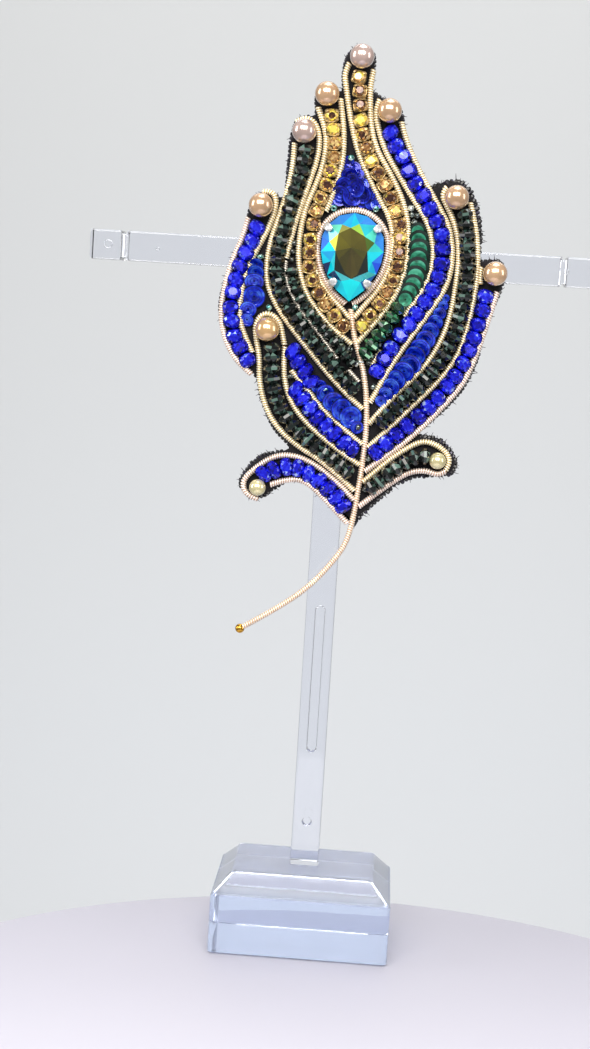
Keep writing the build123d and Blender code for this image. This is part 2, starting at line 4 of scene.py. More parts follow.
import bpy
import numpy as np
from mathutils import Matrix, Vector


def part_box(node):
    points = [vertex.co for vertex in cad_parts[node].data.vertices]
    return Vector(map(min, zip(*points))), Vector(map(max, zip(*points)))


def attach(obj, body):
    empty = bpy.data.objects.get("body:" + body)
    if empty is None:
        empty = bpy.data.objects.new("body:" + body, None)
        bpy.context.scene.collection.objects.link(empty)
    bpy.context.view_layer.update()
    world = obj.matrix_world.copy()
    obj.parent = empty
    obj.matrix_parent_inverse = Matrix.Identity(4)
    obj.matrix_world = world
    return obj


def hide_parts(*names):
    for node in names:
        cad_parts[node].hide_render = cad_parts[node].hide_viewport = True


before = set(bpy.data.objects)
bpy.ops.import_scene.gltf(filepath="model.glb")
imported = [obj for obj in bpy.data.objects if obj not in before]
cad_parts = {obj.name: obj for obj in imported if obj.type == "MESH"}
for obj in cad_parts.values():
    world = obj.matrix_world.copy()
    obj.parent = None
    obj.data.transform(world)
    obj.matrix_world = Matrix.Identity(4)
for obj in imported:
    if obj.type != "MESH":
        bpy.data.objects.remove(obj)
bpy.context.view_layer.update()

bl_info = {
    "name": "Peacock feather brooch on a T-bar stand",
    "version": (1, 0, 0),
    "blender": (4, 5, 0),
    "location": "3D View > Sidebar > Brooch",
    "description": "Dresses the brooch and its clear stand: gimp, stones, beads, sequins, pearls, acrylic",
    "category": "Object",
}

# The drawing that the feather is laid out on is ruled in squares, and each route's points are
# (right, up) in squares from its middle. Lengths below are millimetres. A
# place on the brooch is (right, up, height over the seat), with the seat where the trims lie.
MM = 0.001
SQUARE = 1.05
DRAWING_X = 2.43
DRAWING_RISE = 0.4
BAR_MIDDLE = sum(corner.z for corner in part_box("stand_bar")) / 2 / MM
DRAWING_Z = BAR_MIDDLE + DRAWING_RISE
SEAT_GAP = 0.1
FELT_FRONT = -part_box("felt_base")[0].y / MM
FELT_BACK = -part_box("felt_base")[1].y / MM
SEAT = FELT_FRONT + SEAT_GAP
EYE_AT = (-0.4 * SQUARE, 2.05 * SQUARE)

FELT_LOBES = [
    [(-4.9, 32.1), (-5.1, 35.4), (-4.2, 39.2), (-1.6, 40.9), (1.3, 40.0), (2.2, 37.6), (1.8, 32.6)],
    [(1.8, 32.6), (4.3, 31.2), (7.0, 30.3), (8.3, 27.7), (9.2, 23.6), (10.9, 19.5), (13.9, 14.6)],
    [(13.9, 14.6), (16.7, 15.7), (20.0, 16.1), (22.9, 12.7), (24.8, 6.7), (24.9, 1.2)],
    [(24.9, 1.2), (28.9, 1.2), (30.1, -1.8), (29.3, -6.3), (26.7, -13.7), (26.0, -19.1), (22.9, -25.9),
     (17.6, -31.9), (15.6, -33.8)],
    [(15.6, -33.8), (19.9, -34.9), (23.2, -38.7), (22.0, -42.0), (17.6, -42.7), (11.8, -44.7), (3.1, -53.4)],
    [(3.1, -53.4), (-2.1, -49.6), (-6.4, -45.9), (-10.4, -45.7), (-14.9, -48.9), (-18.2, -49.2),
     (-20.3, -45.7), (-17.1, -40.6), (-11.1, -38.3)],
    [(-11.1, -38.3), (-14.5, -34.9), (-17.1, -29.7), (-18.3, -25.5), (-20.0, -23.8)],
    [(-20.0, -23.8), (-23.7, -19.9), (-26.6, -12.5), (-25.7, -5.2), (-22.7, 3.8), (-21.4, 9.4),
     (-18.2, 12.2), (-14.8, 11.2)],
    [(-14.8, 11.2), (-14.7, 16.5), (-14.4, 22.5), (-13.3, 26.2), (-9.9, 27.4)],
    [(-9.9, 27.4), (-10.1, 30.6), (-8.4, 33.1), (-6.2, 33.1), (-4.9, 32.1)],
]
# How ragged the beaded edge of each lobe is, in the same order
EDGE_RAGGED = [0.15, 0.1, 0.8, 0.35, 0.6, 0.4, 0.15, 0.1, 0.25, 0.05]

GIMP_ROUTES = {
    "gimp_left_1_inner": [(-4.65, 30.2), (-3.7, 25.5), (-3.3, 20.4), (-3.7, 16.1), (-5.1, 11.0), (-6.1, 8.4)],
    "gimp_left_1_outer": [
        (-8.9, 28.3), (-7.1, 24.2), (-6.8, 20.5), (-7.3, 16.8), (-8.5, 12.9), (-10.0, 9.1), (-10.8, 4.8),
        (-11.05, 0.1), (-10.4, -4.1), (-8.8, -8.2), (-6.25, -11.4), (-3.5, -14.2), (-0.7, -16.2),
        (0.6, -17.2)],
    "gimp_left_2_inner": [
        (-13.1, 25.1), (-11.7, 26.0), (-10.0, 25.8), (-8.7, 24.4), (-8.1, 21.5), (-8.4, 18.3), (-9.6, 14.0),
        (-11.2, 8.7), (-12.3, 4.4), (-13.3, -1.2)],
    "gimp_left_2_outer": [
        (-13.0, 21.2), (-13.0, 17.2), (-13.6, 12.9), (-15.0, 7.4), (-16.5, 2.3), (-17.1, -2.0),
        (-16.9, -6.0), (-15.2, -9.7), (-12.9, -12.9), (-10.1, -16.3), (-6.7, -20.0), (-3.2, -23.8),
        (0.2, -27.0), (2.6, -29.0), (3.6, -29.8)],
    "gimp_left_3_inner": [
        (-18.8, 11.4), (-17.3, 11.6), (-16.0, 10.6), (-16.0, 8.0), (-17.2, 4.2), (-18.9, 0.8), (-21.2, -4.6),
        (-22.0, -10.1), (-21.7, -14.2), (-20.3, -17.4), (-18.9, -20.0)],
    "gimp_left_3_outer": [
        (-21.2, 6.3), (-22.0, 2.5), (-23.7, -1.6), (-24.9, -6.3), (-25.6, -11.2), (-25.2, -15.4),
        (-23.7, -19.3), (-21.3, -22.5), (-18.8, -24.3)],
    "gimp_left_4_inner": [
        (-12.5, -18.4), (-12.6, -22.9), (-11.7, -27.0), (-10.0, -30.4), (-7.2, -33.4), (-3.8, -36.1),
        (-0.4, -38.5), (2.7, -40.3), (3.7, -40.9)],
    "gimp_left_4_outer": [
        (-12.6, -18.2), (-13.2, -15.9), (-13.7, -14.0), (-14.8, -12.7), (-16.4, -12.1), (-17.9, -12.9),
        (-18.6, -14.8), (-18.3, -17.2), (-17.4, -20.8), (-17.2, -25.0), (-16.2, -29.1), (-14.3, -32.9),
        (-11.5, -35.9), (-8.1, -38.3), (-4.7, -40.0), (-1.5, -42.3), (1.5, -44.8), (3.0, -46.1)],
    "gimp_left_5": [
        (-11.0, -23.0), (-7.5, -26.7), (-4.5, -30.2), (-1.0, -33.1), (3.1, -36.2), (3.9, -36.8)],
    "gimp_left_leaf_outer": [
        (3.1, -48.0), (0.9, -45.8), (-1.3, -44.0), (-5.5, -41.1), (-9.8, -39.7), (-13.6, -40.3),
        (-17.1, -43.0), (-19.1, -45.2), (-19.1, -47.2), (-17.7, -48.6), (-16.0, -49.0)],
    "gimp_left_leaf_inner": [
        (-13.8, -46.0), (-12.0, -45.2), (-8.9, -44.5), (-7.0, -44.9), (-5.3, -45.9), (-2.3, -48.5),
        (0.8, -51.5), (2.1, -52.7)],
    "gimp_right_1_inner": [
        (-3.3, 37.0), (-4.1, 35.2), (-3.8, 33.0), (-2.6, 27.2), (-1.1, 21.5), (1.0, 16.8), (3.9, 11.8),
        (6.2, 8.4), (7.2, 5.4), (7.4, 2.5), (7.3, 0.0), (6.9, -2.3), (6.1, -4.4), (5.0, -6.4), (3.5, -8.4),
        (1.9, -10.4), (0.8, -12.0)],
    "gimp_right_1_outer": [
        (1.45, 36.0), (1.0, 33.0), (1.2, 29.6), (1.7, 24.7), (3.2, 20.4), (6.2, 16.1), (8.6, 11.8),
        (10.1, 7.4), (10.5, 2.5), (10.2, -2.0), (9.2, -5.6), (7.5, -9.2), (5.0, -12.7), (2.9, -15.3),
        (1.7, -16.9)],
    "gimp_right_2_inner": [
        (3.0, 30.4), (2.4, 28.6), (2.8, 25.7), (4.5, 21.0), (7.1, 17.0), (10.8, 11.7), (13.5, 8.0),
        (14.8, 5.0), (15.5, 1.2), (15.1, -2.8), (13.5, -6.5), (11.6, -9.7), (10.5, -11.2)],
    "gimp_right_2_outer": [
        (7.5, 26.4), (8.2, 23.9), (10.9, 18.3), (13.6, 14.0), (16.1, 10.2), (18.1, 7.0), (19.1, 2.9),
        (19.2, -1.4), (18.2, -5.4), (16.2, -8.8), (14.1, -12.2), (11.8, -15.7), (9.2, -20.1), (7.2, -23.8),
        (5.9, -26.6), (5.0, -28.4)],
    "gimp_right_3_inner": [
        (17.2, 14.4), (16.4, 13.2), (16.9, 11.6), (18.3, 9.4), (19.9, 5.5), (20.5, 1.2), (20.4, -3.1),
        (19.8, -9.5), (18.8, -13.7), (16.8, -18.4), (13.9, -22.5), (10.5, -25.9), (7.5, -29.5),
        (5.95, -31.5), (5.1, -32.6)],
    "gimp_right_4_inner": [
        (21.9, 11.7), (23.3, 7.2), (24.1, 2.0), (24.3, -3.1), (23.9, -7.3), (23.2, -12.2), (21.8, -17.7),
        (19.3, -22.0), (16.3, -25.5), (13.1, -28.9), (9.9, -32.5), (5.95, -36.5), (5.1, -37.4)],
    "gimp_right_4_outer": [
        (28.4, -5.2), (27.3, -9.9), (26.1, -14.6), (24.5, -20.0), (22.7, -24.0), (20.1, -27.4), (16.9, -31.2),
        (13.7, -34.6), (10.1, -37.8), (6.0, -41.1), (4.9, -42.1)],
    "gimp_right_leaf_inner": [
        (4.6, -44.3), (8.2, -40.7), (11.6, -37.9), (14.8, -35.8), (16.5, -35.4), (18.2, -35.8), (19.8, -36.6),
        (21.1, -37.8), (21.5, -39.4), (20.8, -40.8)],
    "gimp_right_leaf_outer": [
        (4.1, -49.2), (8.2, -45.6), (11.8, -42.8), (13.5, -41.8), (15.2, -41.3), (17.1, -41.2),
        (18.7, -41.7), (20.0, -41.6), (20.9, -40.9)],
}
# Wires wound from a paler stock
PALE_GIMP = [
    "gimp_left_3_outer", "gimp_right_4_outer", "gimp_left_leaf_outer", "gimp_left_leaf_inner",
    "gimp_right_leaf_outer"]
# Short lengths of gimp that the solids leave out
SHORT_GIMP = {
    "eye_second": [(-7.9, -1.8), (-6.9, -4.4), (-5.2, -6.8), (-3.2, -9.0), (-1.2, -10.9), (-0.1, -12.2)],
    "right_2_tail": [(6.6, -18.2), (5.3, -19.6), (4.9, -21.4)],
    "right_4_tip": [(25.0, -0.6), (24.8, -2.2), (25.1, -4.0)],
}
SILVER_ROUTE = [
    (-13.35, -1.6), (-13.4, -3.0), (-13.2, -4.6), (-12.4, -7.3), (-9.7, -11.4), (-6.5, -14.8), (-3.9, -18.0),
    (-2.0, -20.2)]
SILVER_TAIL = [(0.3, -22.2), (1.5, -23.5), (2.6, -24.5)]
STEM_ROUTE = [
    (0.0, -10.3), (0.3, -11.8), (1.0, -15.6), (2.2, -18.9), (3.5, -23.0), (4.3, -28.0), (4.65, -33.5),
    (4.4, -39.0), (4.0, -44.0), (3.4, -49.5), (2.85, -53.4), (2.0, -56.8), (-0.1, -60.3), (-4.4, -65.6),
    (-10.7, -70.7), (-18.1, -75.3)]

GOLD_STONE_ROUTES = {
    "gold_stones_left": [
        [(-6.2, 26.9), (-5.3, 22.5), (-5.1, 19.1), (-5.7, 15.6), (-6.9, 11.2), (-8.2, 7.4), (-8.7, 4.2),
         (-8.9, 1.4), (-8.8, -1.6), (-8.2, -4.4), (-6.8, -7.5), (-4.4, -10.6), (-1.2, -13.7)]],
    "gold_stones_right": [
        [(-1.1, 34.3), (-0.8, 29.0), (-0.1, 24.8), (1.5, 19.0), (4.4, 15.2), (7.0, 10.9), (8.4, 7.0),
         (8.9, 3.1), (8.8, -0.5), (8.3, -3.4), (7.0, -6.7), (5.6, -9.2), (3.6, -11.7), (2.4, -13.4)]],
}
BLUE_STONE_ROUTES = {
    "blue_stones_right_inner": [
        [(5.5, 24.2), (7.9, 19.6), (11.3, 14.5), (15.3, 8.5), (17.1, 4.6), (17.3, 0.4), (16.9, -2.8),
         (15.3, -6.8), (13.1, -10.4), (9.9, -15.0), (7.0, -19.8), (5.9, -22.2)]],
    "blue_stones_right_outer": [
        [(26.0, -6.3), (25.4, -11.6), (23.9, -16.5), (21.8, -21.7), (18.5, -26.3), (13.9, -31.4),
         (9.9, -35.3), (6.8, -38.1)]],
    "blue_stones_left_outer": [
        [(-19.4, 4.4), (-20.9, 0.4), (-22.5, -3.9), (-23.5, -8.6), (-23.6, -13.4), (-22.4, -18.0),
         (-19.9, -21.4)]],
}
SMALL_BLUE_STONE_ROUTES = {
    "blue_stones_left_low": [
        [(-9.8, -26.7), (-8.1, -29.0), (-5.9, -31.3), (-2.6, -34.3), (1.0, -37.0), (2.3, -37.7)],
        [(-11.0, -19.3), (-9.7, -20.8), (-7.9, -23.3), (-6.9, -25.1)]],
    "blue_stones_left_leaf": [
        [(-15.3, -43.9), (-12.8, -42.6), (-9.8, -42.0), (-7.2, -42.6), (-4.9, -43.9), (-1.3, -46.9),
         (1.1, -49.2)]],
}
# The two stones painted bright, as painted highlights, each by its place
BRIGHT_STONES = {"gold_stones_left": (-6.0, 24.8), "gold_stones_right": (-0.6, 26.8)}
RONDELLE_ROUTES = {
    "dark_beads_left": [
        (-10.6, 19.9), (-10.8, 17.2), (-11.6, 14.0), (-12.9, 9.8), (-13.7, 5.5), (-14.9, 0.6), (-15.1, -3.5),
        (-14.3, -7.5), (-12.0, -11.3), (-8.6, -15.1), (-5.4, -18.6), (-1.5, -22.9), (1.6, -25.8)],
    "dark_beads_left_low": [
        (-15.0, -18.8), (-14.9, -22.0), (-14.4, -26.4), (-12.6, -31.0), (-9.4, -34.6), (-5.5, -37.4),
        (-1.2, -40.3), (1.6, -42.3)],
    "dark_beads_right": [
        (21.0, 9.3), (21.9, 3.9), (22.4, -0.9), (22.1, -6.5), (21.3, -12.2), (19.6, -17.1), (16.3, -22.7),
        (12.5, -26.6), (9.0, -30.6), (7.6, -32.1)],
    "dark_beads_right_leaf": [
        (6.3, -45.1), (9.9, -41.9), (13.3, -39.2), (15.2, -38.4), (16.5, -38.3)],
    "green_beads": [(9.3, -9.6), (7.2, -13.1), (4.6, -17.0), (3.5, -18.9)],
}
SMALL_RONDELLE_ROUTES = {
    "dark_beads_left_inner": [
        (-12.0, -3.8), (-11.3, -6.3), (-9.7, -9.4), (-6.6, -13.0), (-3.4, -16.1), (-1.3, -18.5),
        (0.9, -20.8)],
}
# Sequins, each by its place, its width in millimetres and how far its upper edge lifts, in degrees
SEQUINS = {
    "green_sequins": [
        (12.1, 5.6, 3.6, 14), (12.4, 3.9, 4.3, 14), (12.6, 2.1, 4.8, 16), (12.6, 0.3, 4.9, 14),
        (12.6, -1.5, 4.9, 18), (12.3, -3.2, 4.8, 14), (11.9, -4.8, 4.6, 16), (11.3, -6.3, 4.3, 14),
        (10.6, -7.8, 4.0, 14)],
    "blue_sequins_right": [
        (18.5, -7.0, 1.7, 14), (18.1, -8.5, 2.2, 16), (17.5, -10.0, 2.8, 18), (16.8, -11.8, 3.4, 20),
        (16.0, -13.5, 3.8, 24), (15.1, -15.3, 4.3, 22), (14.2, -17.0, 4.4, 26), (13.3, -18.6, 4.5, 24),
        (12.5, -20.2, 4.8, 34), (11.3, -21.8, 4.7, 28), (10.1, -23.4, 4.3, 34), (9.1, -24.9, 3.9, 28),
        (8.1, -26.4, 3.3, 34), (7.2, -27.9, 2.6, 28)],
    "blue_sequins_left": [
        (-19.0, -2.6, 3.0, 34), (-19.1, -4.2, 3.6, 30), (-19.3, -6.0, 4.2, 34), (-19.2, -9.0, 4.9, 12),
        (-20.2, -11.5, 3.7, 22), (-20.3, -13.6, 3.0, 24)],
    "blue_sequins_low": [
        (-5.3, -25.8, 3.4, 22), (-4.0, -27.1, 4.0, 24), (-2.4, -28.6, 4.5, 22), (-0.6, -30.1, 4.9, 24),
        (1.3, -31.5, 5.0, 14), (2.7, -33.4, 2.9, 20)],
    "blue_sequins_top": [
        (-1.9, 17.2, 2.4, 10), (-2.0, 15.7, 3.4, 20), (-1.2, 14.7, 3.2, 30), (-2.9, 13.6, 3.8, 18),
        (-0.4, 13.2, 4.2, 30), (-3.4, 11.9, 4.0, 24), (-1.2, 11.6, 4.6, 16), (1.0, 11.9, 3.8, 14),
        (-3.5, 10.9, 3.0, 8), (-1.7, 10.8, 3.2, 8), (0.9, 10.9, 3.2, 8), (2.7, 10.6, 3.2, 8),
        (3.7, 10.3, 2.4, 8), (2.2, 12.1, 2.8, 12), (0.8, 13.9, 2.8, 12), (0.0, 15.4, 3.0, 24),
        (-1.0, 17.0, 2.6, 18), (-2.1, 18.4, 2.2, 10), (-3.0, 15.2, 2.4, 10), (-3.7, 13.0, 2.6, 10),
        (-4.3, 10.6, 2.6, 10)],
}
# Pearl: node, place, which of the pearl colours it has
PEARLS = [
    ("pearl_top", (-0.9, 38.2), "lilac"),
    ("pearl_left_1", (-7.2, 30.75), "peach"),
    ("pearl_left_2", (-11.2, 23.4), "lilac"),
    ("pearl_left_3", (-18.8, 8.7), "peach"),
    ("pearl_left_4", (-16.1, -15.3), "gold"),
    ("pearl_right_2", (5.1, 28.2), "peach"),
    ("pearl_right_3", (19.2, 12.4), "peach"),
    ("pearl_right_4", (27.7, -1.8), "peach"),
    ("pearl_left_leaf", (-16.2, -46.6), "cream"),
    ("pearl_right_leaf", (19.05, -39.0), "cream"),
]
# Seed beads that fill corners: colour, then their places
SEED_BEADS = {
    "teal": [
        (3.7, 9.4), (-4.6, 9.1), (-18.4, -1.25), (-16.1, -11.0), (0.8, -9.9), (-3.9, -26.4), (-1.8, 18.9)],
    "clear": [(10.5, 9.9), (1.7, -21.0), (2.7, -20.4)],
    "dark": [
        (10.7, 8.7), (11.8, 8.5), (11.3, 7.3), (9.0, -12.2), (7.6, -14.6), (6.2, -16.9), (4.2, -20.6),
        (5.0, -19.3), (-1.2, -16.4), (0.3, -18.2), (-12.2, -1.4), (-12.2, 0.2), (-11.9, 1.8),
        (-11.0, -24.3), (3.0, -33.4), (5.4, -25.3), (5.4, -39.5), (5.2, -45.7)],
}

# The crystal's facets as they lie on the drawing, anticlockwise from the top: the table's corners, the
# tips of the star facets between them, and turns round the pear for the girdle's corners, one set
# opposite the table's corners and one opposite the tips.
EYE_TABLE = [
    (-0.9, 5.2), (-3.2, 4.0), (-3.6, 0.6), (-3.6, -3.1), (-0.2, -4.6), (3.0, -3.0), (2.6, 0.8), (1.9, 3.7)]
EYE_TIPS = [
    (-2.6, 5.8), (-4.9, 2.4), (-4.4, -1.4), (-2.1, -5.1), (1.6, -5.1), (3.6, -1.1), (3.9, 2.6), (0.7, 6.1)]
EYE_GIRDLE = [0.25, 0.403, 0.531, 0.622, 0.75, 0.894, 0.98, 0.111]
EYE_BETWEEN = [0.327, 0.467, 0.577, 0.686, 0.82, 0.937, 0.045, 0.18]
# Places under the table where the facets of the back seem to meet: middle, then low left to low right
EYE_UNDER = [(-0.6, 1.4), (-2.9, -1.0), (-1.5, -3.5), (1.0, -3.6), (2.0, -0.7)]


# Meshes


def on_drawing(points):
    """Squares to millimetres."""
    return np.asarray(points, float) * SQUARE


def to_frame(places):
    """Places on the brooch to the row frame: right is +X, up is +Z, and height over the seat is -Y."""
    places = np.asarray(places, float)
    return np.stack((DRAWING_X + places[..., 0], -(SEAT + places[..., 2]), DRAWING_Z + places[..., 1]), -1)


def smooth_route(points, pitch, whole=True):
    """A quadratic B-spline with the points as its control polygon, sampled at an even pitch.

    Each inner point is the middle control of one parabola that starts and ends halfway along its
    two runs. Returns the places and the unit tangents.
    """
    points, samples = np.asarray(points, float), 40
    halves = (points[:-1] + points[1:]) / 2
    starts = np.vstack((points[:1], halves[1:-1]))
    ends = np.vstack((halves[1:-1], points[-1:]))
    t = np.linspace(0, 1, samples, endpoint=False)[None, :, None]
    curve = (1 - t) ** 2 * starts[:, None] + 2 * t * (1 - t) * points[1:-1][:, None] + t**2 * ends[:, None]
    curve = np.vstack((curve.reshape(-1, points.shape[1]), points[-1:]))
    return evenly(curve, pitch, whole)


def evenly(curve, pitch, whole=True):
    """A dense line sampled again at even steps of its length.

    The step is as near to the pitch as fits the length or, if not whole, never shorter than the pitch.
    Returns the places and the unit tangents.
    """
    gone = np.concatenate(([0], np.cumsum(np.linalg.norm(np.diff(curve, axis=0), axis=1))))
    count = max(int(round(gone[-1] / pitch)) if whole else int(gone[-1] / pitch), 1)
    at = np.linspace(0, gone[-1], count + 1)
    near = gone[-1] * 1e-4

    def along(lengths):
        return np.stack([np.interp(lengths, gone, axis) for axis in curve.T], -1)

    ways = along(np.minimum(at + near, gone[-1])) - along(np.maximum(at - near, 0))
    return along(at), ways / np.linalg.norm(ways, axis=1)[:, None]


def through(points, share=12):
    """A Catmull-Rom curve through the points, with share samples to each run."""
    p = np.asarray(points, float)
    p = np.vstack((2 * p[0] - p[1], p, 2 * p[-1] - p[-2]))
    t = np.linspace(0, 1, share, endpoint=False)[None, :, None]
    a, b, c, d = (p[k:len(p) - 3 + k][:, None] for k in range(4))
    curve = 0.5 * (2 * b + (c - a) * t + (2 * a - 5 * b + 4 * c - d) * t**2 + (3 * b - a - 3 * c + d) * t**3)
    return curve.reshape(-1, p.shape[1])


def flat(places, height):
    """Adds one height, or one height for each place, to places on the drawing."""
    return np.column_stack((places, np.broadcast_to(height, len(places))))


def round_turns(count):
    """Angles at even steps round a circle, from zero."""
    return np.linspace(0, 2 * pi, count, endpoint=False)


def headings(angles):
    """Unit vectors on the drawing that point along these angles."""
    return np.column_stack((np.cos(angles), np.sin(angles)))


def lathed(profile, sides):
    """A profile of (out, up) carried round the Z axis: one ring for each of its points."""
    return np.stack([flat(out * headings(round_turns(sides)), up) for out, up in profile])


def carried_round(section, sides):
    """A closed section of (along, out) carried round the X axis: one copy of it for each turn."""
    along, out = np.asarray(section, float).T
    return np.stack([np.column_stack((along, out * cos(a), out * sin(a))) for a in round_turns(sides)])


def grid_faces(rows, sides, round_rows=False):
    """Quads of a grid whose columns close up on themselves, and whose rows do too if asked."""
    bands = rows if round_rows else rows - 1
    i = np.arange(bands)[:, None] * sides
    up = (np.arange(bands)[:, None] + 1) % rows * sides
    j = np.arange(sides)[None, :]
    k = (j + 1) % sides
    return np.stack((i + j, i + k, up + k, up + j), -1).reshape(-1, 4)


def capped(rings):
    """A skin over rings of points, (rows, sides, 3), closed at each end by a fan to the end ring's middle."""
    rows, sides = rings.shape[:2]
    j = np.arange(sides)
    k = (j + 1) % sides
    last = (rows - 1) * sides
    corners = np.vstack((rings.reshape(-1, 3), rings[0].mean(0), rings[-1].mean(0)))
    fans = np.vstack((
        np.column_stack((k, j, np.full(sides, rows * sides))),
        np.column_stack((last + j, last + k, np.full(sides, rows * sides + 1)))))
    return corners, [grid_faces(rows, sides), fans]


def looped(rings):
    """A skin over rings of points that closes up on itself both ways, as a ring or a drilled bead does."""
    rows, sides = rings.shape[:2]
    return rings.reshape(-1, 3), [grid_faces(rows, sides, round_rows=True)]


def repeated(unit, at, axes):
    """Copies of one small shape: its three axes and its place for each copy, all worked out at once."""
    corners, faces = unit
    copies = at[:, None] + np.einsum("vk,nkc->nvc", corners, axes)
    shift = np.arange(len(at)) * len(corners)
    return copies.reshape(-1, 3), [
        (face[None] + shift[:, None, None]).reshape(-1, face.shape[1]) for face in faces]


def moved(shape, by):
    """A shape moved by a vector."""
    return shape[0] + np.asarray(by), shape[1]


def joined(shapes):
    """Several shapes as one."""
    corners, faces, count = [], {}, 0
    for own, lists in shapes:
        for face in lists:
            faces.setdefault(face.shape[1], []).append(face + count)
        corners.append(own)
        count += len(own)
    return np.vstack(corners), [np.vstack(same) for same in faces.values()]


def lying_axes(ways):
    """Axes for pieces on the seat: along these unit vectors, across them to the left, and to the viewer."""
    across = np.column_stack((-ways[:, 1], ways[:, 0]))
    out = np.tile((0.0, 0.0, 1.0), (len(ways), 1))
    return np.stack((flat(ways, 0.0), flat(across, 0.0), out), 1)


def turned(axes, spin=0.0, pitch=0.0, roll=0.0):
    """The axes turned about their own third, second and first axis in turn, by radians, for each or all."""
    n = len(axes)
    (cs, ss), (cp, sp), (cr, sr) = (
        (np.cos(turn), np.sin(turn)) for turn in (np.broadcast_to(angle, n) for angle in (spin, pitch, roll)))
    one, nil = np.ones(n), np.zeros(n)
    about_out = np.stack((cs, ss, nil, -ss, cs, nil, nil, nil, one), -1).reshape(n, 3, 3)
    about_across = np.stack((cp, nil, sp, nil, one, nil, -sp, nil, cp), -1).reshape(n, 3, 3)
    about_along = np.stack((one, nil, nil, nil, cr, sr, nil, -sr, cr), -1).reshape(n, 3, 3)
    return about_along @ about_across @ about_out @ axes


def put(name, shape, material, stands_for=(), smooth=False, facets=None, colours=None,
        on_brooch=True):
    """One object from a shape in millimetres, with a value or a colour for each face if given."""
    corners, faces = shape
    corners = (to_frame(corners) if on_brooch else np.asarray(corners, float)) * MM
    mesh = bpy.data.meshes.new(name)
    widths = np.concatenate([np.full(len(face), face.shape[1]) for face in faces])
    loops = np.concatenate([face.ravel() for face in faces]).astype(np.int32)
    mesh.vertices.add(len(corners))
    mesh.vertices.foreach_set("co", corners.astype(np.float32).ravel())
    mesh.loops.add(len(loops))
    mesh.loops.foreach_set("vertex_index", loops)
    mesh.polygons.add(len(widths))
    mesh.polygons.foreach_set("loop_start", (np.cumsum(widths) - widths).astype(np.int32))
    mesh.polygons.foreach_set("use_smooth", np.full(len(widths), smooth))
    if facets is not None:
        mesh.attributes.new("facet", "FLOAT", "FACE").data.foreach_set("value", facets.astype(np.float32))
    if colours is not None:
        rgba = np.column_stack((colours, np.ones(len(colours)))).astype(np.float32)
        mesh.attributes.new("fire", "FLOAT_COLOR", "FACE").data.foreach_set("color", rgba.ravel())
    mesh.update(calc_edges=True)
    if mesh.validate():
        raise RuntimeError(f"{name}: the mesh had faults that validate() changed")
    mesh.materials.append(material)
    piece = bpy.data.objects.new(name, mesh)
    bpy.context.scene.collection.objects.link(piece)
    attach(piece, "root")
    if stands_for:
        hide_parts(*stands_for)
    return piece


def dress(name, material):
    """Gives a CAD node its finish."""
    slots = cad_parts[name].data.materials
    slots.clear()
    slots.append(material)


# Materials


def linear(code):
    """An sRGB hex colour as linear RGBA."""
    parts = np.array([int(code[k:k + 2], 16) for k in (1, 3, 5)]) / 255
    parts = np.where(parts <= 0.04045, parts / 12.92, ((parts + 0.055) / 1.055) ** 2.4)
    return (*parts.tolist(), 1.0)


def shifted(colour, by):
    """A linear colour made lighter or darker by a factor."""
    return tuple(min(part * by, 1.0) for part in colour[:3]) + (1.0,)


WHITE = linear("#FFFFFF")
# The value, and the colour, that a piece holds for each face: most pieces paint their shade, highlights and
# reflections from it
FACET = {"attribute_name": "facet", "attribute_type": "GEOMETRY"}
FIRE = {"attribute_name": "fire", "attribute_type": "GEOMETRY"}


def add_node(tree, kind, inputs=None, stops=(), **settings):
    """Adds one node with its settings and returns it.

    Each input is a constant for its socket, or an output socket to link to it. A colour ramp
    has stops of (place, linear colour).
    """
    made = tree.nodes.new(kind)
    for name, value in settings.items():
        setattr(made, name, value)
    for name, value in (inputs or {}).items():
        if isinstance(value, bpy.types.NodeSocket):
            tree.links.new(value, made.inputs[name])
        else:
            made.inputs[name].default_value = value
    if stops:
        elements = made.color_ramp.elements
        while len(elements) < len(stops):
            elements.new(1.0)
        for element, (place, colour) in zip(elements, stops):
            element.position, element.color = place, colour
    return made


def blank_material(name):
    """A material with nothing in its node tree."""
    material = bpy.data.materials.new(name)
    material.use_nodes = True
    material.node_tree.nodes.clear()
    return material


def finished(material, **principled):
    """Closes a material with one Principled shader, whose inputs are constants or output sockets."""
    inputs = {key.replace("_", " "): value for key, value in principled.items()}
    shader = add_node(material.node_tree, "ShaderNodeBsdfPrincipled", inputs)
    add_node(material.node_tree, "ShaderNodeOutputMaterial", {"Surface": shader.outputs["BSDF"]})
    return material


def clouded(tree, size, detail, stops, distortion=0.0):
    """Noise in Object coordinates, in patches about size millimetres wide: its value and its colour."""
    noise = add_node(tree, "ShaderNodeTexNoise", {
        "Vector": add_node(tree, "ShaderNodeTexCoord").outputs["Object"], "Scale": 1 / (size * MM),
        "Detail": detail, "Distortion": distortion}).outputs["Fac"]
    return noise, add_node(tree, "ShaderNodeValToRGB", {"Fac": noise}, stops).outputs["Color"]


def plated_wire(name, colour, groove, roughness=0.3):
    """Brass wire, plated, lacquered and wound as gimp: bright, patchy, and browner between its turns, as
    painted shade with tarnish in the grooves.
    """
    material = blank_material(name)
    tree = material.node_tree
    stops = [(0.3, shifted(colour, 0.8)), (0.6, colour), (0.8, shifted(colour, 1.2))]
    _, body = clouded(tree, 2.2, 2.0, stops)
    facet = add_node(tree, "ShaderNodeAttribute", **FACET).outputs["Fac"]
    # The grooves take the darker colour: painted shade with tarnish between the turns
    depth = add_node(tree, "ShaderNodeValToRGB", {"Fac": facet}, [(0.0, groove), (0.9, WHITE)])
    shade = add_node(tree, "ShaderNodeVectorMath", {0: body, 1: depth.outputs["Color"]}, operation="MULTIPLY")
    return finished(material, Base_Color=shade.outputs["Vector"], Metallic=0.45, Roughness=roughness)


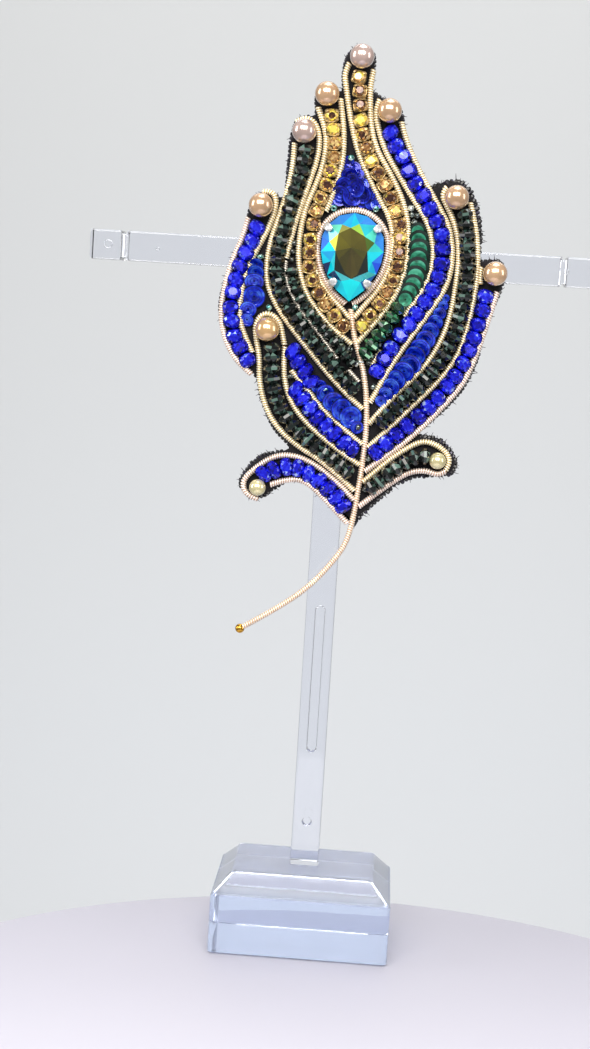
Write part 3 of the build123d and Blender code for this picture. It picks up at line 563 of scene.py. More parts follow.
def plated_cup(name, colour):
    """Pressed sew-on cups, barrel plated: satin metal, duller and much browner in patches about a millimetre
    wide.
    """
    material = blank_material(name)
    stops = [(0.34, shifted(colour, 0.22)), (0.52, colour), (0.7, shifted(colour, 1.2))]
    _, body = clouded(material.node_tree, 1.1, 2.0, stops)
    return finished(material, Base_Color=body, Metallic=0.85, Roughness=0.32)


def bright_steel(name, colour, roughness=0.18, metallic=1.0):
    """Nickel or silver plated steel: a cool mirror, a little cloudy, and whiter where not all mirror."""
    material = blank_material(name)
    stops = [(0.3, shifted(colour, 0.8)), (0.7, shifted(colour, 1.1))]
    _, body = clouded(material.node_tree, 0.6, 3.0, stops)
    return finished(material, Base_Color=body, Metallic=metallic, Roughness=roughness)


def pearl_glaze(name, colour):
    """Crystal pearl: a glass core dipped in pearl essence, which glows like satin under a hard clear skin."""
    material = blank_material(name)
    stops = [(0.3, shifted(colour, 0.86)), (0.7, shifted(colour, 1.1))]
    _, milky = clouded(material.node_tree, 3.0, 1.0, stops)
    return finished(
        material, Base_Color=milky, Metallic=0.5, Roughness=0.2, Coat_Weight=1.0, Coat_Roughness=0.05,
        Coat_IOR=1.9)


def foiled_glass(name, stops, roughness=0.08, coat=1.0):
    """Cut glass on a mirror foil, under a polished clear top: each facet is painted its own depth of colour,
    as painted shade and painted reflections from the foil.

    The foil's grain lightens that painted reflection a little.
    """
    grain_width, grain_share = 0.55, 0.28
    material = blank_material(name)
    tree = material.node_tree
    facet = add_node(tree, "ShaderNodeAttribute", **FACET).outputs["Fac"]
    place = add_node(tree, "ShaderNodeTexCoord").outputs["Object"]
    grain = add_node(tree, "ShaderNodeTexVoronoi", {"Vector": place, "Scale": 1 / (grain_width * MM)})
    lift = add_node(
        tree, "ShaderNodeMath", {0: grain.outputs["Distance"], 1: grain_share}, operation="MULTIPLY")
    depth = add_node(tree, "ShaderNodeMath", {0: facet, 1: lift.outputs["Value"]}, operation="ADD")
    shade = add_node(tree, "ShaderNodeValToRGB", {"Fac": depth.outputs["Value"]}, stops).outputs["Color"]
    return finished(
        material, Base_Color=shade, Metallic=0.55, Roughness=0.22, IOR=1.56, Coat_Weight=coat,
        Coat_Roughness=roughness, Coat_IOR=1.56)


def dark_glass(name, stops, roughness=0.16):
    """Pressed and fire polished jet glass: nearly black, with facets that mirror the room, and each facet
    painted its own brightness as a painted reflection.
    """
    material = blank_material(name)
    tree = material.node_tree
    facet = add_node(tree, "ShaderNodeAttribute", **FACET).outputs["Fac"]
    shade = add_node(tree, "ShaderNodeValToRGB", {"Fac": facet}, stops).outputs["Color"]
    return finished(
        material, Base_Color=shade, Metallic=0.0, Roughness=roughness, IOR=1.55, Coat_Weight=0.25,
        Coat_Roughness=0.08)


def coated_crystal(name):
    """Lead-free crystal, vacuum coated so that its facets turn olive, yellow-green, turquoise and blue; each
    facet's colour is given with painted reflections and painted shade in it.
    """
    material = blank_material(name)
    tree = material.node_tree
    fire = add_node(tree, "ShaderNodeAttribute", **FIRE).outputs["Color"]
    _, veil = clouded(tree, 3.5, 1.0, [(0.3, shifted(WHITE, 0.72)), (0.7, WHITE)])
    shade = add_node(tree, "ShaderNodeVectorMath", {0: fire, 1: veil}, operation="MULTIPLY").outputs["Vector"]
    return finished(
        material, Base_Color=shade, Metallic=0.25, Roughness=0.16, IOR=1.56, Coat_Weight=1.0,
        Coat_Roughness=0.02, Coat_IOR=1.56)


def sequin_film(name, colour, bright, roughness, metallic):
    """Punched polyester film, metallised on its back: satin, brighter in patches, and darker in painted shade
    where each face's own value is low, with painted sheen where it is high.
    """
    material = blank_material(name)
    tree = material.node_tree
    _, body = clouded(tree, 1.6, 2.0, [(0.36, shifted(colour, 0.4)), (0.5, colour), (0.66, bright)])
    facet = add_node(tree, "ShaderNodeAttribute", **FACET).outputs["Fac"]
    # Low values paint shade, as under the next sequin's lifted edge and in the cup's grooves
    stops = [(0.0, shifted(WHITE, 0.06)), (1.0, WHITE)]
    pressed = add_node(tree, "ShaderNodeValToRGB", {"Fac": facet}, stops).outputs["Color"]
    shade = add_node(tree, "ShaderNodeVectorMath", {0: body, 1: pressed}, operation="MULTIPLY")
    return finished(
        material, Base_Color=shade.outputs["Vector"], Metallic=metallic, Roughness=roughness, Coat_Weight=0.4,
        Coat_Roughness=0.15)


def wool_felt(name, colour):
    """Pressed wool felt: matt, fuzzy, with fibres about 0.05 mm thick, drawn at 0.25 mm so that they show."""
    material = blank_material(name)
    tree = material.node_tree
    fibre, body = clouded(tree, 0.25, 5.0, [(0.35, shifted(colour, 0.5)), (0.65, shifted(colour, 2.2))], 1.2)
    nap = add_node(tree, "ShaderNodeBump", {"Height": fibre, "Distance": 0.2 * MM}).outputs["Normal"]
    return finished(
        material, Base_Color=body, Roughness=0.95, Sheen_Weight=0.5, Sheen_Roughness=0.5,
        Sheen_Tint=shifted(colour, 6.0), Normal=nap)


def spun_thread(name, colour):
    """Waxed nylon beading thread: a soft line of light along tight fibres, drawn at 0.15 mm."""
    material = blank_material(name)
    tree = material.node_tree
    strand, body = clouded(tree, 0.15, 3.0, [(0.3, shifted(colour, 0.6)), (0.7, shifted(colour, 1.8))])
    twist = add_node(tree, "ShaderNodeBump", {"Height": strand, "Distance": 0.05 * MM}).outputs["Normal"]
    return finished(material, Base_Color=body, Roughness=0.5, Sheen_Weight=0.3, Normal=twist)


def clear_acrylic(name, tint_below_bevel, painted_light_tint, roughness=0.02, clear=1.0, ripple=0.012):
    """Cast acrylic, saw cut and flame polished: IOR 1.49, faintly rippled, and milky if not all clear.

    The block has its tint up to where its bevel begins, and hardly any above that, where it is painted paler
    as painted light on the bevel and top.
    """
    fade_low, fade_high, reach, wave = 12.4, 13.6, 20.0, 7.0
    material = blank_material(name)
    tree = material.node_tree
    place = add_node(tree, "ShaderNodeTexCoord").outputs["Object"]
    height = add_node(tree, "ShaderNodeSeparateXYZ", {0: place}).outputs["Z"]
    share = add_node(tree, "ShaderNodeMath", {0: height, 1: 1 / (reach * MM)}, operation="MULTIPLY")
    stops = [(fade_low / reach, tint_below_bevel), (fade_high / reach, painted_light_tint)]
    tint = add_node(tree, "ShaderNodeValToRGB", {"Fac": share.outputs["Value"]}, stops)
    noise = add_node(tree, "ShaderNodeTexNoise", {"Vector": place, "Scale": 1 / (wave * MM), "Detail": 1.0})
    waves = add_node(tree, "ShaderNodeBump", {"Height": noise.outputs["Fac"], "Distance": ripple * MM})
    return finished(
        material, Base_Color=tint.outputs["Color"], Roughness=roughness, IOR=1.49, Transmission_Weight=clear,
        Normal=waves.outputs["Normal"])


# Sizes and colours that a user would change


def length(name, description, millimetres):
    """A length property, with its default in millimetres."""
    return bpy.props.FloatProperty(
        name=name, description=description, default=millimetres * MM, min=0.0, soft_max=0.1, precision=5,
        unit="LENGTH", subtype="DISTANCE")


def colour(name, description, code):
    """A colour property, with its default as sRGB hex."""
    return bpy.props.FloatVectorProperty(
        name=name, description=description, default=linear(code), size=4, min=0.0, max=1.0, subtype="COLOR")


class BroochSizes(bpy.types.PropertyGroup):
    """Sizes of the trims and of the slot in the stand's post."""

    gimp_width: length("Gimp width", "Thickness of the wound wire that edges each strip", 1.3)
    gimp_pitch: length("Gimp pitch", "Distance from one turn of the gimp to the next", 0.5)
    stem_width: length("Stem width", "Thickness of the stem's wound wire", 1.3)
    silver_width: length("Silver wire width", "Thickness of the thin silver wire", 0.95)
    silver_pitch: length("Silver wire pitch", "Distance from one turn of the silver wire to the next", 0.48)
    ball_width: length("Ball width", "Ball at the stem's free end", 2.0)
    stone_width: length("Stone width", "Larger cut stones, across the girdle", 2.6)
    small_stone_width: length("Small stone width", "Smaller cut stones, across the girdle", 2.1)
    stone_gap: length("Stone gap", "Left between two stones of a string", 0.2)
    bead_width: length("Rondelle width", "Larger faceted beads, across the hole", 3.45)
    bead_length: length("Rondelle length", "Larger faceted beads, along the hole", 2.04)
    small_bead_width: length("Small rondelle width", "Smaller faceted beads, across the hole", 2.7)
    small_bead_length: length("Small rondelle length", "Smaller faceted beads, along the hole", 1.74)
    bead_gap: length("Bead gap", "Left between two beads of a string", 0.06)
    sequin_cup: length("Sequin cup", "How far the rim of a cup sequin turns up", 0.3)
    seed_width: length("Seed bead width", "Small round beads in the corners", 1.4)
    edge_width: length("Edge bead width", "Small beads sewn round the felt", 1.15)
    edge_pitch: length("Edge pitch", "Distance from one edge bead to the next", 0.9)
    edge_inset: length("Edge inset", "How far the felt's edge is drawn in by its stitches", 0.7)
    slot_width: length("Slot width", "Slot in the front of the post", 2.2)
    slot_length: length("Slot length", "Slot in the front of the post", 31.8)
    slot_depth: length("Slot depth", "How deep the slot and the dimple are pressed in", 0.8)
    dimple_width: length("Dimple width", "Dimple under the slot", 2.0)


class BroochColours(bpy.types.PropertyGroup):
    """Colours of the trims, of the stand and of the stage."""

    gimp: colour("Gimp", "Champagne gold of the wound wire", "#FFF8DE")
    ring: colour("Eye ring", "Pale pink gold of the wire round the crystal", "#FFF3EA")
    stem: colour("Stem", "Rosier gold of the stem's wire", "#FCEBD8")
    cup: colour("Gold cups", "Champagne gold of the cups and claws", "#D8BE8C")
    ball: colour("Ball", "Gold of the ball at the stem's end", "#D9A441")
    silver: colour("Silver", "Nickel of the pin behind the felt", "#E8E8EA")
    peach: colour("Peach pearl", "Most of the pearls", "#D6AE86")
    lilac: colour("Lilac pearl", "The top pearl and the second on the left", "#CFB4AA")
    golden: colour("Golden pearl", "The pearl low on the left", "#DAB078")
    cream: colour("Cream pearl", "The two small pearls", "#E2D8A4")
    felt: colour("Felt", "Backing felt", "#0D0B10")
    thread: colour("Thread", "Sewing thread", "#1A1420")
    edge: colour("Edge beads", "Beads sewn round the felt", "#08060A")
    green_film: colour("Green sequins", "Teal green film", "#3A9E7C")
    blue_film: colour("Blue sequins", "Royal blue film", "#1230E4")
    # The base is painted in the acrylic tint up to its bevel and in the clear tint above, paler, as painted
    # light
    acrylic: colour("Acrylic", "Tint of the stand's base where it is thick", "#D6E2FB")
    clear: colour("Clear acrylic", "Tint of the stand's post and bar, and of its base where thin", "#F6F8FF")
    floor: colour("Floor", "Pale floor", "#C8C6D2")
    wall: colour("Backdrop", "Pale wall", "#E2E3E2")


# Stage

# Lamp: place, what it points at, width and height in metres, watts, tint
LAMPS = {
    "softbox_front": ((-0.05, -0.80, 0.58), (0.0, 0.0, 0.14), (1.0, 0.5), 14.0, "#FFFBF4"),
    "softbox_left": ((-0.9, -0.2, 0.35), (0.0, 0.0, 0.12), (0.3, 0.6), 3.0, "#FFFFFF"),
    "softbox_right": ((0.9, -0.3, 0.30), (0.0, 0.0, 0.12), (0.3, 0.6), 2.0, "#FFFFFF"),
    "softbox_top": ((0.05, 0.05, 1.1), (0.0, 0.0, 0.0), (0.6, 0.6), 4.0, "#FFFFFF"),
    "wall_high": ((0.0, 0.9, 1.4), (0.0, 1.9, 0.1), (2.0, 0.5), 10.5, "#FFFFFF"),
    "wall_low": ((0.0, 0.9, -0.7), (0.0, 1.9, 0.1), (2.0, 0.3), 5.5, "#E8EEFF"),
}
# Camera: place in millimetres, how far it turns left, looks up and leans in degrees, and its
# focal length as a share of the long side of the photograph
CAMERA_AT, CAMERA_TURNS, FOCAL_SHARE = (10.64, -384.5, 131.2), (2.574, -6.081, 3.565), 1810.6 / 1049


def placed(at, right, up, back):
    """A matrix from three axes and a place."""
    return Matrix([(right[k], up[k], back[k], at[k]) for k in range(3)] + [(0, 0, 0, 1)])


def put_stage(name, corners, faces, material):
    """A smooth stage piece from corners in millimetres."""
    mesh = bpy.data.meshes.new(name)
    mesh.from_pydata((corners * MM).tolist(), [], faces.tolist())
    mesh.polygons.foreach_set("use_smooth", np.ones(len(faces), bool))
    mesh.materials.append(material)
    piece = bpy.data.objects.new(name, mesh)
    bpy.context.scene.collection.objects.link(piece)
    return piece


def round_table():
    """A disc with a softly rounded rim, placed so that its far edge shows behind the base."""
    middle, radius, thick, gap, sides = (11.4, -72.8, 0.0), 103.3, 14.0, 0.25, 256
    # Profile: share of the radius, share of the thickness
    profile = [(0.0, 0.0), (0.985, 0.0), (0.996, -0.06), (1.0, -0.25), (1.0, -1.0), (0.0, -1.0)]
    rings = lathed([(radius * share, thick * drop - gap) for share, drop in profile], sides) + middle
    return rings[::-1].reshape(-1, 3), grid_faces(len(profile), sides)


def hung_sheet():
    """A sheet that lies low behind the table and bends up in a quarter circle to a wall."""
    width, near, far, drop, rise, bend = 6000.0, -300.0, 1900.0, -900.0, 2600.0, 500.0
    turns = np.linspace(0, pi / 2, 17)
    bow = bend * np.column_stack((np.sin(turns) - 1, 1 - np.cos(turns))) + (far, drop)
    line = np.vstack(((near, drop), bow, (far, rise)))
    edges = [np.column_stack((np.full(len(line), x), line)) for x in (-width / 2, width / 2)]
    first = 2 * np.arange(len(line) - 1)
    return np.stack(edges, 1).reshape(-1, 3), np.column_stack((first, first + 1, first + 3, first + 2))


class BROOCH_OT_stage(bpy.types.Operator):
    """Make the floor, the backdrop, the soft lights and the camera"""

    bl_idname = "brooch.stage"
    bl_label = "Stage"

    def execute(self, context):
        colours = context.scene.brooch_colours
        # Satin paint on board, which gives a soft sheen, and matt paper, which gives none
        floor = finished(blank_material("painted table top"), Base_Color=colours.floor, Roughness=0.55)
        wall = finished(blank_material("matt paper backdrop"), Base_Color=colours.wall, Roughness=0.9)
        table = put_stage("table_top", *round_table(), floor)
        backdrop = put_stage("backdrop", *hung_sheet(), wall)

        world = bpy.data.worlds.new("soft room")
        context.scene.world = world
        world.use_nodes = True
        world.node_tree.nodes.clear()
        glow = add_node(
            world.node_tree, "ShaderNodeBackground", {"Color": linear("#F3F4F8"), "Strength": 0.32})
        add_node(world.node_tree, "ShaderNodeOutputWorld", {"Surface": glow.outputs["Background"]})
        for name, (at, to, size, watts, tint) in LAMPS.items():
            lamp = bpy.data.lights.new(name, "AREA")
            lamp.shape, lamp.size, lamp.size_y, lamp.energy = "RECTANGLE", *size, watts
            lamp.color = linear(tint)[:3]
            holder = bpy.data.objects.new(name, lamp)
            context.scene.collection.objects.link(holder)
            back = np.array(at) - np.array(to)
            back /= np.linalg.norm(back)
            right = np.cross((0, 0, 1), back)
            right /= np.linalg.norm(right)
            holder.matrix_world = placed(at, right, np.cross(back, right), back)

        yaw, pitch, lean = (radians(turn) for turn in CAMERA_TURNS)
        level = np.array((cos(yaw), sin(yaw), 0))
        ahead = np.array((-sin(yaw), cos(yaw), 0)) * cos(pitch) + np.array((0, 0, sin(pitch)))
        upward = np.cross(level, ahead)
        right = level * cos(lean) + upward * sin(lean)
        up = upward * cos(lean) - level * sin(lean)
        camera = bpy.data.cameras.new("camera")
        camera.sensor_width = 36.0
        camera.lens = camera.sensor_width * FOCAL_SHARE
        camera.clip_start, camera.clip_end = 0.02, 20.0
        holder = bpy.data.objects.new("camera", camera)
        context.scene.collection.objects.link(holder)
        holder.matrix_world = placed(np.array(CAMERA_AT) * MM, right, up, -ahead)
        context.scene.camera = holder
        context.scene.view_settings.view_transform = "Standard"
        return {"FINISHED"}


# Stand

# How far the slot's top stands over the stem's free end, and the dimple's middle lies under the slot
SLOT_RISE, DIMPLE_DROP = 5.3, 15.3


def rounded_rectangle(half_x, half_y, corner):
    """Corners of a rectangle with a quarter circle of four points at each of its corners, anticlockwise."""
    turns = np.linspace(0, pi / 2, 4)
    return np.vstack([
        np.array((x * (half_x - corner), y * (half_y - corner))) + corner * headings(turns + quarter * pi / 2)
        for quarter, (x, y) in enumerate(((1, 1), (-1, 1), (-1, -1), (1, -1)))])


def base_rings():
    """The bevelled block as rounded rectangles, one over the other, with each of its edges softened."""
    half_x, half_y, top = np.array(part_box("stand_base")[1]) / MM
    wall_height, bevel_in, soft = 12.6, 4.4, 0.35
    # Level: height, how far in from the wall, corner radius
    levels = [
        (0.0, soft, 0.8), (soft * 0.3, soft * 0.3, 0.9), (soft, 0.0, 1.0), (wall_height - soft, 0.0, 1.0),
        (wall_height, 0.12, 1.0), (wall_height + soft * 0.8, 0.5, 1.0),
        (top - soft * 0.6, bevel_in - 0.45, 1.0), (top - 0.08, bevel_in + 0.05, 0.9),
        (top, bevel_in + soft * 1.4, 0.8)]
    return np.stack([
        flat(rounded_rectangle(half_x - inward, half_y - inward, corner), height)
        for height, inward, corner in levels])


def post_rings(sizes):
    """A square section carried up, with the slot and the dimple pressed into its front as rounded troughs.

    The front has many columns, and rows lie close together where it is pressed in. A point there sinks
    by the depth where it is nearer to the slot's middle line, or to the dimple's middle, than half
    their width, and by less over a narrow lip.
    """
    low, high = (np.array(corner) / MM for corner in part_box("stand_post"))
    half, edge, glue, chamfer, lip, beyond = high[0], 0.35, 0.04, 0.12, 0.15, 0.3
    columns, plain_rows, slot_rows, dimple_rows = 41, 24, 240, 28
    foot, head = low[2] + glue, high[2] - glue
    slot_half, slot_length, depth = sizes.slot_width / MM / 2, sizes.slot_length / MM, sizes.slot_depth / MM
    dimple_half = sizes.dimple_width / MM / 2
    slot_top = DRAWING_Z + SQUARE * STEM_ROUTE[-1][1] + SLOT_RISE
    slot_foot = slot_top - slot_length
    dimple_z = slot_foot - DIMPLE_DROP
    front = np.column_stack((np.linspace(-half + edge, half - edge, columns), np.full(columns, -half)))
    # The front's ends are corners of the rectangle too: the last of its third and the first of its fourth
    corner = rounded_rectangle(half, half, edge)
    section = np.vstack((front, corner[13:], corner[:11]))
    dimple_reach = dimple_half + beyond
    heights = np.unique(np.round(np.concatenate((
        [foot, foot + chamfer], np.linspace(low[2] + 0.5, high[2] - 0.5, plain_rows),
        np.linspace(slot_foot - beyond, slot_top + beyond, slot_rows),
        np.linspace(dimple_z - dimple_reach, dimple_z + dimple_reach, dimple_rows),
        [head - chamfer, head])), 3))
    rings = np.stack([flat(section, height) for height in heights])
    x, z = rings[:, :columns, 0], rings[:, :columns, 2]
    slot = slot_half - np.hypot(x, z - np.clip(z, slot_foot + slot_half, slot_top - slot_half))
    dimple = dimple_half - np.hypot(x, z - dimple_z)
    rings[:, :columns, 1] += depth * np.clip(np.maximum(slot, dimple) / lip, 0, 1)
    rings[[0, -1], :, :2] *= 1 - 0.3 * edge / half
    return rings


def crossbar_rings():
    """A square section carried along X, which narrows in a groove beside the block at each end."""
    low, high = (np.array(corner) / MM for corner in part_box("stand_bar"))
    half_long, half = high[0], (high[2] - low[2]) / 2
    block, groove_width, groove_depth, corner = 6.6, 1.1, 0.6, 0.4
    inner = half_long - block
    outer = inner - groove_width
    # Station from the end inwards: distance from the middle, how far the section draws in
    stations = [
        (half_long, 0.3), (half_long - 0.1, 0.1), (half_long - 0.3, 0.0), (inner + 0.15, 0.0), (inner, 0.12),
        (inner - 0.05, groove_depth), (outer + 0.05, groove_depth), (outer, 0.12), (outer - 0.15, 0.0)]
    rings = []
    for x, inward in [(-x, inward) for x, inward in stations] + stations[::-1]:
        section = rounded_rectangle(half - inward, half - inward, corner)
        rings.append(np.column_stack((np.full(len(section), x), section[:, 0], BAR_MIDDLE + section[:, 1])))
    return np.stack(rings)


def drill_marks():
    """Shallow polished rings that drilling leaves on the bar's front: a small circle carried round each."""
    front, thick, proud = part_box("stand_bar")[0].y / MM, 0.07, 0.05
    section = headings(round_turns(8))[:, ::-1] * thick
    marks = []
    # Mark: place along the bar, how far over its middle, radius
    for x, rise, radius in ((-49.3, 0.1, 0.85), (-38.8, -0.3, 0.35), (46.5, 0.0, 0.5)):
        rings = carried_round(section + (0.0, radius), 24)[::-1, :, [1, 0, 2]]
        marks.append(moved(looped(rings), (x, front - proud, BAR_MIDDLE + rise)))
    return joined(marks)


class BROOCH_OT_stand(bpy.types.Operator):
    """Make the clear stand: bevelled base, slotted post and grooved crossbar"""

    bl_idname = "brooch.stand"
    bl_label = "Stand"

    def execute(self, context):
        sizes, colours = context.scene.brooch_sizes, context.scene.brooch_colours
        # The block is painted paler above where its bevel begins, as painted light
        tinted = clear_acrylic("cast acrylic block", colours.acrylic, colours.clear, 0.04, 0.86, 0.05)
        clear = clear_acrylic("flame polished acrylic", colours.clear, colours.clear)
        # The polished lip of a drilled hole gives the eye a fine bright line, so it is drawn as a mirror
        mark = bright_steel("polished drill mark", linear("#D8DCE4"), 0.25)
        put("base_block", capped(base_rings()), tinted, ["stand_base"], on_brooch=False)
        put("post", capped(post_rings(sizes)), clear, ["stand_post"], on_brooch=False)
        put("crossbar", capped(crossbar_rings()), clear, ["stand_bar"], on_brooch=False)
        put("drill_marks", drill_marks(), mark, smooth=True, on_brooch=False)
        return {"FINISHED"}


# Felt and its edge


def felt_outline(inward):
    """The backing's outline on the drawing: a curve through each lobe's points, moved in along its normal."""
    curve = np.vstack([through(on_drawing(lobe)) for lobe in FELT_LOBES])
    before, after = np.roll(curve, 1, 0), np.roll(curve, -1, 0)
    way = after - before
    way /= np.linalg.norm(way, axis=1)[:, None]
    # The outline runs clockwise as seen by the viewer, so inward is to its right
    return curve + inward * np.column_stack((way[:, 1], -way[:, 0]))


class BROOCH_OT_felt(bpy.types.Operator):
    """Make the felt backing with softly rounded edges, and finish the threads of the beads"""

    bl_idname = "brooch.felt"
    bl_label = "Felt"

    def execute(self, context):
        colours = context.scene.brooch_colours
        back, front = FELT_BACK - SEAT, -SEAT_GAP
        # Level: height over the seat, how far in from the outline
        levels = [
            (back, 0.45), (back + 0.15, 0.15), (back + 0.5, 0.0), (front - 0.5, 0.0), (front - 0.15, 0.15),
            (front, 0.45)]
        inset = context.scene.brooch_sizes.edge_inset / MM
        rings = np.stack([flat(felt_outline(inset + inward), height)[::-1] for height, inward in levels])
        rows, sides = rings.shape[:2]
        ends = np.arange(sides)
        faces = [grid_faces(rows, sides), ends[::-1][None], ((rows - 1) * sides + ends)[None]]
        wool = wool_felt("black wool felt", colours.felt)
        put("felt_backing", (rings.reshape(-1, 3), faces), wool, ["felt_base"])
        dress("bead_threads", spun_thread("black beading thread", colours.thread))
        return {"FINISHED"}


def seed_bead(width, sides, share):
    """A drilled round bead about its X axis, share as long as wide: an oval carried round the hole."""
    radius, bore = width / 2, width * 0.16
    middle, thick = (radius + bore) / 2, (radius - bore) / 2
    return looped(carried_round(headings(round_turns(6)) * (width * share / 2, thick) + (0.0, middle), sides))


def fibre(thick):
    """A thin spike one millimetre long along its X axis, bent a little to its left, closed at both ends."""
    corners, bend = headings(round_turns(4)), 0.15
    # Ring: place along the spike, share of its thickness
    return capped(np.stack([
        np.column_stack((np.full(4, along), corners * thick * share + (bend * along**2, 0.0)))
        for along, share in ((0.0, 1.0), (0.5, 0.9), (1.0, 0.3))]))


class BROOCH_OT_edge(bpy.types.Operator):
    """Sew small dark beads and loose fibres round the felt, more raggedly on some lobes than on others"""

    bl_idname = "brooch.edge"
    bl_label = "Edge beads"

    def execute(self, context):
        sizes, colours = context.scene.brooch_sizes, context.scene.brooch_colours
        rng = np.random.default_rng(11)
        places, ways, ragged = [], [], []
        for lobe, amount in zip(FELT_LOBES, EDGE_RAGGED):
            at, way = evenly(through(on_drawing(lobe), 24), sizes.edge_pitch / MM)
            places.append(at[:-1])
            ways.append(way[:-1])
            ragged.append(np.full(len(at) - 1, amount))
        places, ways, ragged = np.vstack(places), np.vstack(ways), np.concatenate(ragged)
        n, inset, depth = len(places), sizes.edge_inset / MM, FELT_BACK - FELT_FRONT
        outward = np.column_stack((-ways[:, 1], ways[:, 0]))
        # Each bead stands with its hole across the edge. Where the edge is ragged it leans by chance, and
        # stands out further and higher
        lean = rng.normal(0, 0.5, n) * ragged
        height = 0.42 * depth + rng.normal(0, 0.25, n) * ragged
        stands_out = 0.45 * ragged * rng.random(n) - 0.1 - inset
        axes = turned(lying_axes(outward), lean, rng.normal(0, 0.4, n) * ragged)
        long = 0.65 + ragged * (0.2 + 0.8 * rng.random(n))
        axes = axes * np.stack((long, 0.75 + 0.3 * ragged * rng.random(n), 0.8 + 0.5 * ragged), 1)[:, :, None]
        bead = seed_bead(sizes.edge_width / MM, 7, 0.95)
        shape = repeated(bead, flat(places + outward * stands_out[:, None], height), axes)
        # Each facet is painted by chance, and the few with the highest values are painted glints
        jet = dark_glass("jet edge beads", [
            (0.0, shifted(colours.edge, 0.5)), (0.8, colours.edge), (0.95, linear("#1C1630")),
            (1.0, linear("#3A3458"))], 0.45)
        put("edge_beads", shape, jet, facets=rng.random(len(shape[1][0])))

        # Thread ends and torn fibres stand out of the edge, most where it is ragged
        chosen = rng.random(n) < 0.3 + 0.7 * ragged
        m = chosen.sum()
        axes = turned(lying_axes(outward[chosen]), rng.normal(0, 0.7, m), rng.normal(0, 0.4, m))
        axes[:, 0] *= (0.9 + 0.4 * rng.random(m) + 1.3 * ragged[chosen] * rng.random(m))[:, None]
        roots = places[chosen] - (inset + 0.2) * outward[chosen]
        shape = repeated(fibre(0.1), flat(roots, height[chosen] + rng.uniform(-0.5, 0.9, m)), axes)
        put("edge_fibres", shape, spun_thread("loose black fibres", colours.thread))
        return {"FINISHED"}


# Wires


def wound_line(places, ways, width, pitch):
    """A close-wound coil over places a quarter of a pitch apart: a round tube that swells on every turn.

    Each turn has four rings, three of them near its crest, and each ring leans along the wire by a
    fifth of the pitch on its left and right, as the turns of a coil do. Returns the skin, and for
    each face 0 in the grooves and 1 on the crests.
    """
    radius, groove, sides = width / 2, 0.3, 10
    turns = round_turns(sides)
    phase = np.arange(len(places)) % 4
    swell = radius * (1 - groove * np.array([1.0, 0.2, 0.0, 0.2])[phase])
    left = np.column_stack((-ways[:, 1], ways[:, 0]))
    lean = pitch / 5 * np.cos(turns)
    aside = (swell[:, None] * np.cos(turns))[..., None] * left[:, None]
    on_seat = places[:, None] + aside + lean[None, :, None] * ways[:, None]
    tall = radius + swell[:, None] * np.sin(turns)
    crest = np.isin(phase[:-1], (1, 2)).astype(float)
    return capped(np.dstack((on_seat, tall))), np.concatenate((np.repeat(crest, sides), np.zeros(2 * sides)))


def wound_wire(points, width, pitch):
    """The coil of wound_line along a route of squares."""
    return wound_line(*smooth_route(on_drawing(points), pitch / 4), width, pitch)


def put_coil(name, coil, material, stands_for=()):
    """One coil, with its grooves painted darker than its crests, as shade and tarnish between the turns."""
    return put(name, coil[0], material, stands_for, smooth=True, facets=coil[1])


def pear_sizes():
    """Radius of the pear's round end and of its long sides, and how far off its axis their middles lie."""
    low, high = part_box("eye_crystal")
    round_r = (high.x - low.x) / MM / 2
    tall = (high.z - low.z) / MM
    side_r = ((tall - round_r) ** 2 + round_r**2) / (2 * round_r)
    return round_r, side_r, side_r - round_r


def pear_line(grow):
    """The pear's outline on the drawing, grown, from its tip up the left side and down the right one.

    A half circle on top, and one long arc down each side that is tangent to it.
    """
    round_r, side_r, shift = pear_sizes()
    round_r, side_r, count = round_r + grow, side_r + grow, 200
    end = acos(shift / side_r)
    left = headings(np.linspace(end, 0, count, endpoint=False)) * (-side_r, -side_r) + (shift, 0.0)
    top = headings(np.linspace(pi, 0, count, endpoint=False)) * round_r
    right = headings(np.linspace(0, end, count)) * (side_r, -side_r) - (shift, 0.0)
    return np.vstack((left, top, right)) + EYE_AT


def ball(width, rows=14, sides=20):
    """A sphere as rings about its Z axis that shrink towards both poles, where fans close it."""
    tilt = np.linspace(-pi / 2, pi / 2, rows + 2)[1:-1]
    return capped(lathed(headings(tilt) * width / 2, sides))


